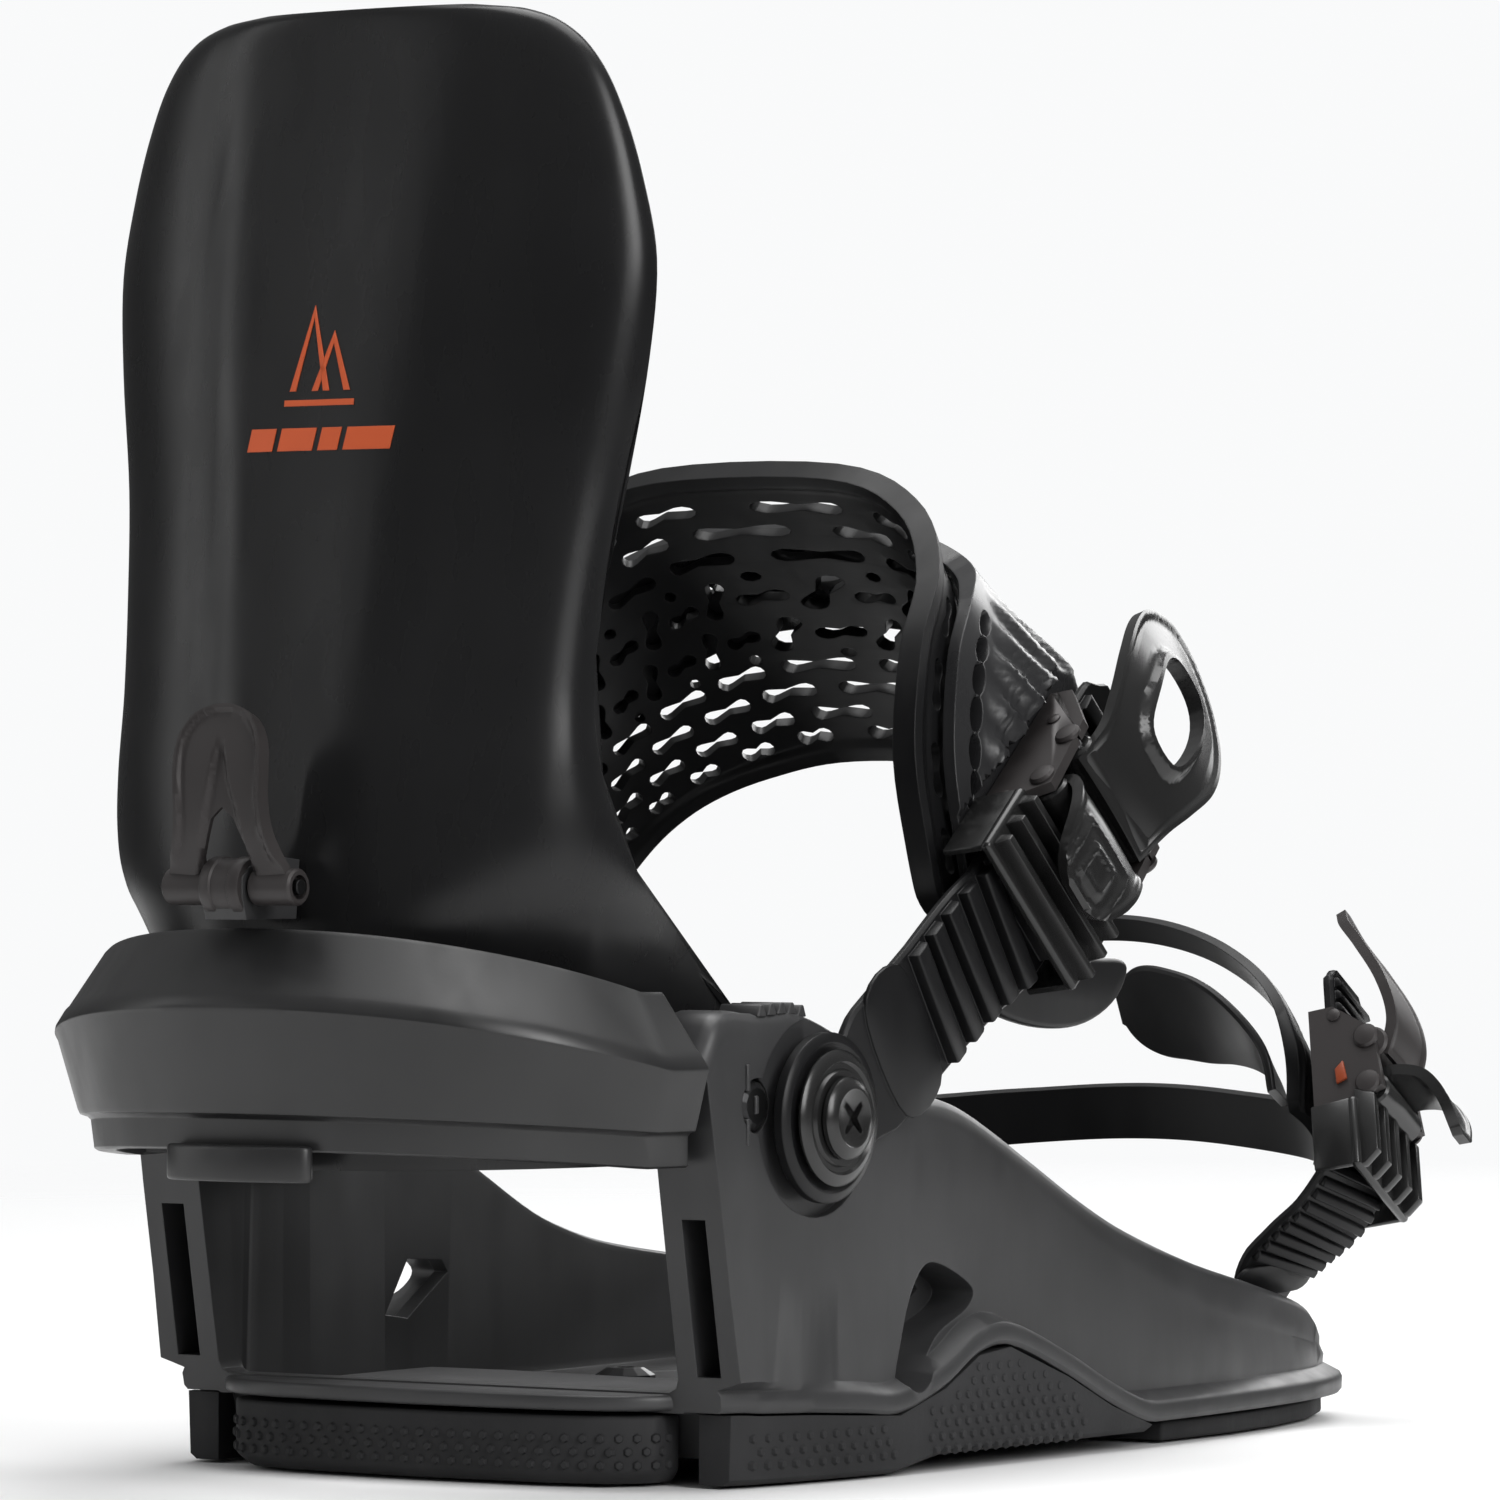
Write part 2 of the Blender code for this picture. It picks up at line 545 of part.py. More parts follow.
def make_lean_adjuster():
    """The forward-lean block on the back of the highback, and its flip lever."""
    y, z = LEAN_AXIS.y, LEAN_AXIS.z
    outline = [(-152.8, 98.6), (-167.6, 98.6), (-168.8, z - 1.6), (-168.8, z + 1.6), (-166.6, z + 3.6),
               (-162.6, z + 3.8), (-156.6, z + 5.0), (-151.9, z + 4.6)]
    block = prism("lean_block", outline, "X", -LEAN_KNUCKLE, LEAN_KNUCKLE, "nylon", tuple(LEAN_AXIS))
    bore = turned("helper_lean_bore", [(1.7, -20), (1.7, 20)], LEAN_AXIS, (1, 0, 0), None, 12, helper=True)
    cut(block, bore)
    turned("lean_pin", [(1.35, -LEAN_LENGTH - 0.6), (1.35, LEAN_LENGTH + 0.6)], LEAN_AXIS, (1, 0, 0), "steel", 12,
           joint=tuple(LEAN_AXIS))
    lever = turned("lean_lever", [(LEAN_RADIUS, LEAN_KNUCKLE + RUN), (LEAN_RADIUS, LEAN_LENGTH)], LEAN_AXIS,
                   (1, 0, 0), "alloy_black", 14, joint=tuple(LEAN_AXIS))
    join(lever, turned("helper_lean_barrel", [(LEAN_RADIUS, -LEAN_LENGTH), (LEAN_RADIUS, -LEAN_KNUCKLE - RUN)],
                       LEAN_AXIS, (1, 0, 0), None, 14, helper=True))
    rings = []
    for height, half, back in ((1.0, 12.6, -1.6), (5.2, 11.4, -2.2), (12.0, 9.6, -3.4), (20.0, 9.0, -3.6),
                               (25.0, 8.6, -3.0), (28.4, 6.0, -1.8), (29.6, 2.6, -1.2)):
        yc, zc = y + back, z + height
        rings.append([Vector((half, yc + 1.1, zc)), Vector((half, yc - 0.9, zc)), Vector((-half, yc - 0.9, zc)),
                      Vector((-half, yc + 1.1, zc))])
    blade = ring_solid("helper_lean_blade", rings, None, helper=True)
    clear = [(-5.0, z - 6), (5.0, z - 6), (5.0, z + 5.4), (2.0, z + 14.0), (-2.0, z + 14.0), (-5.0, z + 5.4)]
    cut(blade, prism("helper_lean_fork", clear, "Y", y - 12, y + 12, helper=True))
    join(lever, blade)
    cut(lever, bore)


# ---------------------------------------------------------------- straps


def band(name, centres, outwards, widths, thicknesses, finish, joint=None, helper=False):
    """A strap skinned over a path: each station has a centre, an outward direction, a width and a thickness."""
    rings = []
    for i, centre in enumerate(centres):
        ahead = centres[min(i + 1, len(centres) - 1)] - centres[max(i - 1, 0)]
        matrix = frame_matrix(centre, ahead, outwards[i])
        half, thick = widths[i] / 2, thicknesses[i]
        corners = ((-half, 0), (half, 0), (half, thick), (-half, thick))
        rings.append([matrix @ Vector((0, a, b)) for a, b in corners])
    return ring_solid(name, rings, finish, joint, helper)


def toothed_stations(path, outward_of, start, pitch, tooth, thickness):
    """Stations along a path, plain up to start, then one saw tooth for each pitch."""
    lengths = [0.0]
    for a, b in zip(path, path[1:]):
        lengths.append(lengths[-1] + (b - a).length)
    total = lengths[-1]

    def at(distance):
        for i in range(len(path) - 1):
            if distance <= lengths[i + 1] or i == len(path) - 2:
                share = (distance - lengths[i]) / (lengths[i + 1] - lengths[i])
                return path[i].lerp(path[i + 1], share)

    marks = [(start * k / 4, thickness) for k in range(4)]
    distance = start
    while distance + pitch <= total:
        marks.append((distance, thickness))
        marks.append((distance + 0.22 * pitch, thickness + tooth))
        marks.append((distance + 0.86 * pitch, thickness + 0.55 * tooth))
        distance += pitch
    marks.append((total, thickness))
    centres = [at(d) for d, _ in marks]
    outwards = [outward_of(d / total) for d, _ in marks]
    return centres, outwards, [t for _, t in marks], total


def blend_directions(keys):
    """A function that reads a direction between keyed ones, (share, direction)."""

    def read(share):
        for (a, first), (b, second) in zip(keys, keys[1:]):
            if share <= b:
                return Vector(first).lerp(Vector(second), (share - a) / (b - a)).normalized()
        return Vector(keys[-1][1]).normalized()

    return read


# Each buckle's own frame: x up the strap, y across it, z outward, with the ladder's inner face at z = 0
ANKLE_BUCKLE = frame_matrix((64.8, -6.0, 113.5), (-0.04, 0.78, 0.62), (0.985, -0.03, 0.17))
TOE_BUCKLE = frame_matrix((57.4, 112.0, 62.0), (-0.30, 0.40, 0.87), (0.93, 0.25, 0.25))

LUG_INNER = 64.1  # the strap lugs' inner faces, outside the walls
ANKLE_RIGHT = (LUG_INNER, PIVOT_Y, PIVOT_Z)
ANKLE_LEFT = (-LUG_INNER, PIVOT_Y, PIVOT_Z)
TOE_LUG_INNER = 42.4  # the toe lugs stand inside the walls
TOE_RIGHT = (TOE_LUG_INNER, 103.0, 17.6)
TOE_LEFT = (-TOE_LUG_INNER, 103.0, 17.6)


def on(matrix, x, y, z):
    return matrix @ Vector((x, y, z))


def in_frame(name, matrix, outline, axis, low, high, finish=None, joint=None, helper=False):
    """A prism made in a buckle's own frame."""
    place = {
        "X": lambda a, b, c: (c, a, b),
        "Y": lambda a, b, c: (a, c, b),
        "Z": lambda a, b, c: (a, b, c),
    }[axis]
    rings = [[on(matrix, *place(a, b, c)) for a, b in outline] for c in (low, high)]
    return ring_solid(name, rings, finish, joint, helper)


def rod_in_frame(name, matrix, x, z, radius, half, finish=None, joint=None, sides=14, helper=False):
    """A rod across a buckle."""
    return turned(name, [(radius, -half), (radius, half)], on(matrix, x, 0, z), matrix.col[1][:3], finish, sides,
                  joint, helper)


def make_ladder(name, knots, buckle, lead, tail, outward_of, width, start, pitch, tooth, joint, lug_radius):
    """A toothed strap from its lug, through its buckle and on to its tail."""
    entry, leave = on(buckle, -lead, 0, GAP), on(buckle, tail, 0, GAP)
    path = catmull([*knots, entry], 4) + [entry.lerp(leave, k / 6) for k in range(1, 7)]
    centres, outwards, thick, _ = toothed_stations(path, outward_of, start, pitch, tooth, LADDER_THICKNESS)
    widths = [width] * len(centres)
    widths[0] = width * 0.8
    widths[-1] = width * 0.7
    ladder = band(name, centres, outwards, widths, thick, "flexible", joint)
    lug = [(lug_radius, 0.0), (lug_radius, LADDER_THICKNESS + 0.3)]
    join(ladder, turned(f"helper_{name}_lug", lug, joint, (1, 0, 0), None, 24, helper=True))
    return ladder


def make_pivots():
    """The two bolts that carry the straps and the highback, with their washers and nuts."""
    for side, label in ((1, "right"), (-1, "left")):
        at = (0, PIVOT_Y, PIVOT_Z)
        lug_outer = LUG_INNER + LADDER_THICKNESS + 0.3
        nut = [(6.2, 37.4), (6.2, 40.6)]
        nut = turned(f"pivot_nut_{label}", nut, at, (side, 0, 0), "steel", 6)
        cut(nut, bore_of(f"helper_nut_bore_{label}", side, 30.0, 50.0, PIVOT_RADIUS + GAP))
        tube(f"pivot_washer_{label}", PIVOT_RADIUS + GAP, 10.6, lug_outer + GAP, lug_outer + 2.0, at, (side, 0, 0),
             "nylon_gloss", 28)
        head = lug_outer + 2.0 + GAP
        bolt = turned(f"pivot_bolt_{label}", [(PIVOT_RADIUS, 37.0), (PIVOT_RADIUS, head), (7.0, head),
                      (7.0, head + 1.4), (5.8, head + 2.6)], at, (side, 0, 0), "nylon_gloss", 24)
        for angle in (0, 90):
            turn = math.radians(45 + angle)
            dy, dz = math.cos(turn), math.sin(turn)
            corners = [(3.0 * a * dy - 0.55 * b * dz, 3.0 * a * dz + 0.55 * b * dy)
                       for a, b in ((1, 1), (-1, 1), (-1, -1), (1, -1))]
            slot = [(PIVOT_Y + y, PIVOT_Z + z) for y, z in corners]
            low, high = sorted((side * (head + 1.2), side * (head + 6)))
            cut(bolt, prism(f"helper_cross_{label}_{angle}", slot, "X", low, high, helper=True))


def make_ankle_ladder():
    knots = [(LUG_INNER + 0.3, -73.0, 66.5), (LUG_INNER + 0.4, -66.0, 71.5), (65.2, -53.0, 80.5), (65.8, -38.0, 90.5)]
    outward = tuple(ANKLE_BUCKLE.col[2][:3])
    outward_of = blend_directions([(0.0, (1, 0, 0)), (0.25, (1, 0, 0)), (0.55, outward), (1.0, outward)])
    ladder = make_ladder("ankle_ladder", knots, ANKLE_BUCKLE, 29.0, 32.0, outward_of, LADDER_WIDTH, 26.0, LADDER_PITCH,
                         LADDER_TOOTH, ANKLE_RIGHT, 15.0)
    cut(ladder, bore_of("helper_ladder_bore", 1, 50.0, 80.0))


# pairs of points on the ankle pad's rear upper edge and front lower edge, from its right end to its middle
PAD_EDGES = (
    ((57.2, -34.0, 98.0), (57.2, 14.0, 88.0)),
    ((56.6, -37.5, 110.0), (55.6, 22.0, 98.0)),
    ((54.6, -39.0, 128.0), (51.6, 26.5, 107.0)),
    ((51.6, -32.0, 147.0), (44.0, 28.0, 114.5)),
    ((47.8, -20.5, 161.0), (34.0, 30.0, 120.5)),
    ((38.0, -12.0, 173.0), (22.0, 33.5, 125.0)),
    ((20.0, -10.0, 180.0), (9.0, 37.0, 128.0)),
)

# the same for the toe cap strap
CAP_EDGES = (
    ((51.0, 104.0, 59.0), (51.6, 113.0, 48.0)),
    ((49.6, 105.5, 72.0), (50.6, 120.0, 47.5)),
    ((42.0, 110.5, 83.5), (42.0, 127.5, 49.0)),
    ((27.0, 116.0, 92.0), (25.0, 133.0, 50.5)),
    ((9.0, 119.0, 96.5), (8.0, 136.0, 51.5)),
)


def strap_layer(name, edges, finish, low, high, joint, bulge, span=(0, 0), trim=(0.0, 1.0), steps=4, swell=0.0,
                helper=False):
    """A layer of a strap between two heights over its inner face, and between two shares of its width."""
    rear = [Vector(a) for a, _ in edges]
    front = [Vector(b) for _, b in edges]
    rear = catmull(rear + mirrored(reversed(rear)), 2)
    front = catmull(front + mirrored(reversed(front)), 2)
    middle = Vector((0, sum(p.y for p in rear + front) / len(rear + front), 40))
    rings = []
    for i in range(span[0], len(rear) - span[1]):
        after, before = min(i + 1, len(rear) - 1), max(i - 1, 0)
        ahead = rear[after] + front[after] - rear[before] - front[before]
        outward = ahead.cross(front[i] - rear[i]).normalized()
        if outward.dot((rear[i] + front[i]) / 2 - middle) < 0:
            outward = -outward
        inner = []
        for k in range(steps + 1):
            t = trim[0] + (trim[1] - trim[0]) * k / steps
            inner.append(rear[i].lerp(front[i], t) + outward * bulge * math.sin(math.pi * t))
        # the layer swells outward at the sides by up to swell, most towards its front edge
        along = abs(2 * i / (len(rear) - 1) - 1)
        lift = swell * max(0.0, 1 - ((along - 0.52) / 0.36) ** 2)
        outer = []
        for k, point in enumerate(inner):
            outer.append(point + outward * (high + lift * min(1.0, 1.6 * k / steps)))
        rings.append([p + outward * low for p in inner] + outer[::-1])
    return ring_solid(name, rings, finish, joint, helper)


def make_ankle_strap():
    """The perforated pad, the frame on its outside that carries the load, and the tongue under the buckle."""
    strap_layer("ankle_pad", PAD_EDGES, "flexible", -PAD_SINK, PAD_THICKNESS - PAD_SINK, ANKLE_LEFT, 2.0, steps=8)
    low = PAD_THICKNESS - PAD_SINK + GAP
    frame = strap_layer("ankle_frame", PAD_EDGES, "nylon", low, low + FRAME_THICKNESS, ANKLE_LEFT, 2.0, (1, 1),
                        (0.125, 0.75), 5, FRAME_SWELL)
    path = catmull([(-62.4, -4.0, 108.0), (-63.6, -34.0, 97.0), (-64.4, -52.0, 82.0), (-64.3, -70.0, 68.0)], 4)
    arm = band("helper_frame_arm", path, [Vector((-1, 0, 0))] * len(path), [24.0] * len(path),
               [2.8] * len(path), None, helper=True)
    lug = turned("helper_frame_lug", [(15.0, 0.0), (15.0, LADDER_THICKNESS + 0.3)], ANKLE_LEFT, (-1, 0, 0), None, 24,
                 helper=True)
    join(frame, arm, lug)
    cut(frame, bore_of("helper_frame_bore", -1, 50.0, 80.0))
    room = [(-34.0, -18.6), (34.0, -18.6), (34.0, 18.6), (-34.0, 18.6)]
    cut(frame, in_frame("helper_bracket_room", ANKLE_BUCKLE, room, "Z", -BRACKET_WALL - GAP, 12.0, helper=True))
    flap = [(-31.0, 94.6), (-27.0, 88.0), (-14.0, 82.4), (2.0, 80.4), (16.0, 81.2), (25.0, 85.0), (27.0, 89.6), (16.0, 87.2)]
    prism("ankle_tongue", flap, "X", 57.4, 57.4 + TONGUE_THICKNESS, "flexible", ANKLE_LEFT)


def make_buckle(prefix, matrix, carrier, width, length, wall_height, lever, release, hood, joint, finish):
    """A ratchet buckle: bracket, ribbed hood, drive lever and release lever, each on its own pin."""
    half = width / 2 + RUN
    outer = half + BRACKET_WALL
    entry = -length + 4.8
    plate = [(entry, -outer), (length, -outer), (length, outer), (entry, outer)]
    bracket = in_frame(f"{prefix}_buckle_bracket", matrix, plate, "Z", -BRACKET_WALL, 0.0, finish, joint)
    rivet_hole = turned(f"helper_{prefix}_rivet_hole", [(2.4 + GAP, -9.0), (2.4 + GAP, 1.0)], on(matrix, 0, 0, 0),
                        matrix.col[2][:3], None, 14, helper=True)
    cut(bracket, rivet_hole)
    cut(carrier, rivet_hole)
    turned(f"{prefix}_buckle_rivet", [(2.4, -BRACKET_WALL - 2.4), (2.4, -0.3)], on(matrix, 0, 0, 0),
           matrix.col[2][:3], "steel", 14, joint)
    start, end, low, high = hood
    cheek = [(entry, -BRACKET_WALL + 0.3), (length, -BRACKET_WALL + 0.3), (length, 3.0), (length * 0.52, wall_height - 1.6),
             (end + 3.0, wall_height), (end + 1.0, low - 1.0), (entry, low - 1.8)]
    for side in (1, -1):
        near, far = sorted((side * half, side * outer))
        join(bracket, in_frame(f"helper_{prefix}_cheek_{side}", matrix, cheek, "Y", near, far, helper=True))
    for which, shape in (("ratchet", lever), ("release", release)):
        x, z = shape["axis"]
        axis = tuple(on(matrix, x, 0, z))
        pin = rod_in_frame(f"{prefix}_{which}_pin", matrix, x, z, PIN_RADIUS, outer + 0.8, "steel", axis)
        hole = rod_in_frame(f"helper_{prefix}_{which}_hole", matrix, x, z, PIN_RADIUS + 0.35, outer + 5, helper=True)
        cut(bracket, hole)
        name = f"{prefix}_{which}_lever"
        hub = rod_in_frame(name, matrix, x, z, HUB_RADIUS, half - RUN, shape["finish"], axis, 16)
        rings = []
        for i, (lx, lz, half_width, thick) in enumerate(shape["blade"]):
            ahead, behind = shape["blade"][min(i + 1, len(shape["blade"]) - 1)], shape["blade"][max(i - 1, 0)]
            run = Vector((ahead[0] - behind[0], ahead[1] - behind[1])).normalized() * thick
            run *= shape["face"]
            rings.append([on(matrix, lx, -half_width, lz), on(matrix, lx, half_width, lz),
                          on(matrix, lx - run.y, half_width, lz + run.x),
                          on(matrix, lx - run.y, -half_width, lz + run.x)])
        join(hub, ring_solid(f"helper_{name}_blade", rings, None, helper=True))
        if "hole" in shape:
            near, far, half_hole = shape["hole"]
            outline = [(near, -half_hole * 0.5), (near, half_hole * 0.5), (near + 5, half_hole), (far - 4, half_hole),
                       (far, half_hole * 0.6), (far, -half_hole * 0.6), (far - 4, -half_hole), (near + 5, -half_hole)]
            cut(hub, in_frame(f"helper_{name}_window", matrix, outline, "Z", z + 1.5, z + 30, helper=True))
        cut(hub, hole)
        if which == "release":
            tip = [(x - 3.2, release["tooth"]), (x - 1.8, release["tooth"]), (x + 2.0, z - 1.0), (x - 2.0, z + 1.0)]
            join(hub, in_frame(f"helper_{name}_pawl", matrix, tip, "Y", -half * 0.55, half * 0.55, helper=True))
            hub.modifiers.move(len(hub.modifiers) - 1, 0)
    flat = [(start, -outer - 2.0), (end, -outer - 2.0), (end, outer + 2.0), (start, outer + 2.0)]
    cover = in_frame(f"{prefix}_buckle_hood", matrix, flat, "Z", low, high, "nylon_gloss", joint)
    ribs = 4
    for k in range(ribs):
        rib_x = start + (end - start) * (k + 0.5) / ribs
        rib = [(rib_x - 1.1, high - 0.4), (rib_x + 0.9, high - 0.4), (rib_x + 0.5, high + 1.4), (rib_x - 1.1, high + 1.4)]
        join(cover, in_frame(f"helper_{prefix}_rib_{k}", matrix, rib, "Y", -outer - 1.6, outer + 1.6, helper=True))
    for side in (1, -1):
        near, far = sorted((side * (outer + GAP), side * (outer + 2.0)))
        flank = [(start, -BRACKET_WALL), (end, -BRACKET_WALL), (end, low + 0.5), (start, low + 0.5)]
        join(cover, in_frame(f"helper_{prefix}_flank_{side}", matrix, flank, "Y", near, far, helper=True))
    return bracket


def make_ankle_buckle():
    lever = {
        "axis": (7.0, 9.2), "finish": "nylon_gloss", "face": 1, "hole": (21.0, 41.0, 7.0),
        "blade": ((4.4, 9.6, 12.4, 2.4), (12.0, 11.6, 12.6, 2.0), (19.0, 12.2, 14.6, 1.8), (29.0, 11.4, 17.0, 1.8),
                  (39.0, 8.6, 16.6, 1.8), (47.0, 5.4, 14.0, 1.8), (52.6, 2.8, 8.0, 1.8)),
    }
    release = {
        "axis": (-5.0, 9.2), "finish": "nylon_gloss", "face": -1, "tooth": LADDER_THICKNESS + LADDER_TOOTH + GAP + 0.9,
        "blade": ((-3.4, 9.6, 12.4, 2.2), (-3.6, 12.4, 12.2, 2.2), (-6.4, 14.4, 11.8, 2.2), (-12.0, 15.6, 11.0, 2.0),
                  (-18.0, 15.2, 9.0, 1.8), (-21.0, 14.2, 6.0, 1.8)),
    }
    make_buckle("ankle", ANKLE_BUCKLE, bpy.data.objects["ankle_frame"], LADDER_WIDTH, 22.0, 12.2, lever, release, (-25.0, -10.4, 6.4, 9.4), ANKLE_LEFT,
                "alloy_black")


def make_toe_ladder():
    knots = [(TOE_LUG_INNER + 0.2, 104.0, 21.0), (TOE_LUG_INNER + 3.2, 103.0, 28.0), (52.0, 103.0, 34.0),
             (58.6, 103.6, 39.6)]
    outward = tuple(TOE_BUCKLE.col[2][:3])
    outward_of = blend_directions([(0.0, (1, 0, 0)), (0.15, (0.9, 0.1, -0.4)), (0.35, (0.8, 0.1, -0.55)),
                                   (0.62, outward), (1.0, outward)])
    ladder = make_ladder("toe_ladder", knots, TOE_BUCKLE, 17.8, 24.0, outward_of, TOE_LADDER_WIDTH, 14.0, TOE_LADDER_PITCH,
                         TOE_LADDER_TOOTH, TOE_RIGHT, 7.0)
    cut(ladder, turned("helper_toe_ladder_bore", [(2.6 + GAP, -9), (2.6 + GAP, 9)], TOE_RIGHT, (1, 0, 0), None, 14,
                       helper=True))


def make_toe_strap():
    cap = strap_layer("toe_cap_strap", CAP_EDGES, "flexible", -1.8, TOE_CAP_THICKNESS - 1.8, TOE_LEFT, 3.0, steps=5)
    window = [(-41.0, 64.0), (-30.0, 79.0), (-14.0, 84.6), (0.0, 86.2), (14.0, 84.6), (30.0, 79.0), (41.0, 64.0),
              (28.0, 62.4), (0.0, 63.6), (-28.0, 62.4)]
    cut(cap, prism("helper_cap_window", window, "Y", 90, 150, helper=True))
    room = [(-20.0, -13.4), (20.0, -13.4), (20.0, 13.4), (-20.0, 13.4)]
    cut(cap, in_frame("helper_toe_bracket_room", TOE_BUCKLE, room, "Z", -BRACKET_WALL - GAP, 12.0, helper=True))
    path = catmull([(-51.6, 110.0, 57.0), (-52.6, 108.4, 50.0), (-53.2, 106.2, 44.0), (-50.6, 104.4, 36.5),
                    (-TOE_LUG_INNER - 3.2, 103.0, 28.0), (-TOE_LUG_INNER - 0.2, 104.0, 20.0)], 3)
    arm = band("helper_cap_arm", path, [Vector((-1, 0, 0))] * len(path), [17.0] * len(path), [2.8] * len(path), None,
               helper=True)
    lug = turned("helper_cap_lug", [(7.0, 0.0), (7.0, LADDER_THICKNESS + 0.3)], TOE_LEFT, (-1, 0, 0), None, 20,
                 helper=True)
    join(cap, arm, lug)
    cut(cap, turned("helper_cap_bore", [(2.6 + GAP, -9), (2.6 + GAP, 9)], TOE_LEFT, (1, 0, 0), None, 14, helper=True))
    base = bpy.data.objects["baseplate"]
    for side, label in ((1, "right"), (-1, "left")):
        at = (0, TOE_RIGHT[1], TOE_RIGHT[2])
        bolt = [(4.6, TOE_LUG_INNER - 3.0), (4.6, TOE_LUG_INNER - GAP), (2.4, TOE_LUG_INNER - GAP), (2.4, 53.0)]
        turned(f"toe_bolt_{label}", bolt, at, (side, 0, 0), "steel", 14)
        cut(base, turned(f"helper_toe_bolt_bore_{label}", [(2.4 + GAP, 30.0), (2.4 + GAP, 53.6)], at, (side, 0, 0), None,
                         14, helper=True))
    for side, label in ((1, "right"), (-1, "left")):
        notch = [(90.0, FLOOR_TOP - 0.4), (116.0, FLOOR_TOP - 0.4), (118.0, 40.0), (88.0, 40.0)]
        low, high = sorted((side * (TOE_LUG_INNER - 4), side * (TOE_LUG_INNER + 3.8)))
        cut(base, prism(f"helper_lug_notch_{label}", notch, "X", low, high, helper=True))


def make_toe_tongue():
    """The soft tongue under the toe buckle, reaching in over the boot's toe."""
    knots = [(43.0, 110.0, 63.0), (38.4, 111.0, 71.0), (29.0, 112.0, 77.4), (17.0, 113.4, 80.6), (6.0, 114.4, 81.6)]
    path = catmull(knots, 3)
    outward_of = blend_directions([(0.0, (0.9, 0.3, 0.3)), (0.5, (0.45, 0.45, 0.8)), (1.0, (0.1, 0.6, 0.8))])
    steps = len(path) - 1
    widths = [15.0 * min(1.0, 0.45 + 2.4 * (1 - k / steps)) for k in range(steps + 1)]
    band("toe_tongue", path, [outward_of(k / steps) for k in range(steps + 1)], widths, [1.6] * len(path), "flexible",
         TOE_LEFT)


def make_toe_buckle():
    lever = {
        "axis": (5.0, 9.4), "finish": "alloy_black", "face": 1,
        "blade": ((3.4, 10.2, 8.6, 2.0), (10.0, 12.0, 8.8, 1.8), (18.0, 10.6, 9.4, 1.6), (27.0, 6.4, 9.0, 1.6),
                  (34.0, 2.4, 7.0, 1.6), (38.0, 0.6, 3.6, 1.6)),
    }
    release = {
        "axis": (-5.0, 9.2), "finish": "nylon_gloss", "face": -1, "tooth": LADDER_THICKNESS + TOE_LADDER_TOOTH + GAP + 0.7,
        "blade": ((-3.2, 9.6, 8.4, 2.2), (-3.0, 14.0, 8.2, 2.0), (-4.6, 18.0, 7.8, 1.8), (-9.0, 20.4, 6.6, 1.8),
                  (-14.0, 21.4, 3.6, 1.8)),
    }
    make_buckle("toe", TOE_BUCKLE, bpy.data.objects["toe_cap_strap"], TOE_LADDER_WIDTH, 13.0, 12.2, lever, release, (-16.0, -9.0, 6.0, 7.8), TOE_LEFT,
                "alloy_black")


def main():
    for obj in list(bpy.data.objects):
        bpy.data.objects.remove(obj)
    make_baseplate()
    make_bushings()
    make_beds()
    make_disc()
    make_toe_ramp()
    make_heel_loop()
    make_highback()
    make_lean_adjuster()
    make_pivots()
    make_ankle_ladder()
    make_ankle_strap()
    make_ankle_buckle()
    make_toe_ladder()
    make_toe_strap()
    make_toe_tongue()
    make_toe_buckle()


main()
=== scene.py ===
"""The looks of a strap-in snowboard binding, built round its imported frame."""

import json
import logging
import math
from collections.abc import Callable, Iterable, Sequence
from dataclasses import dataclass
from enum import Enum

import bmesh
import bpy
from mathutils import Matrix, Vector

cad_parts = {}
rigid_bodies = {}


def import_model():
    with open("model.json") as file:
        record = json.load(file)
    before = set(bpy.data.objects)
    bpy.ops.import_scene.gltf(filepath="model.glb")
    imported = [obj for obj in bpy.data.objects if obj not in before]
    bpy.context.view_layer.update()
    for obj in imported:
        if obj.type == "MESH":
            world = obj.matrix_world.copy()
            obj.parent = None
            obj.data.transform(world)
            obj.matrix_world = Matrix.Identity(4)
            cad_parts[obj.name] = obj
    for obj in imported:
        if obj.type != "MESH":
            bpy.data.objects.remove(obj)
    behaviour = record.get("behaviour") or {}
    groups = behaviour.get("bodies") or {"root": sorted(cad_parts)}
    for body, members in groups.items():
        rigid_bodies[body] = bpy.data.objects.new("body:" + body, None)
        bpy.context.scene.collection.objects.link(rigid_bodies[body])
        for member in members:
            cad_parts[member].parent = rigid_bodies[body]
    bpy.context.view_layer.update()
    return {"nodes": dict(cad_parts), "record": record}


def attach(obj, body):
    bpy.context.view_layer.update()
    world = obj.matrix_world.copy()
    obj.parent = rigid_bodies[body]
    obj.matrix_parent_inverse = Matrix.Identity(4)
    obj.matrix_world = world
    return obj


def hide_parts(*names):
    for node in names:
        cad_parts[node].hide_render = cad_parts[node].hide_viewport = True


LOG = logging.getLogger("binding")
MM = 0.001
SHARP = math.radians(38)
WELD = 2e-6  # metres
FLAT = math.radians(0.8)

# places in y and z that several pieces share, and the bores there, in millimetres
STRAP_BOLT, STRAP_BORE = (-81.0, 63.5), 3.7
LOOP_SCREW, LOOP_SEAT = (-98.5, 66.0), [(2.9, 59.6), (4.9, 59.6), (4.9, 70), (0, 70)]
TOE_BOLT = (103.0, 17.6)

for leftover in list(bpy.data.objects):
    bpy.data.objects.remove(leftover)
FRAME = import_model()

Point = tuple[float, float]
Triple = tuple[float, float, float]
Station = Triple
Place = Callable[[float, float], Vector]
Height = Callable[[float, float], float]
Mesh = bmesh.types.BMesh
Socket = bpy.types.NodeSocket

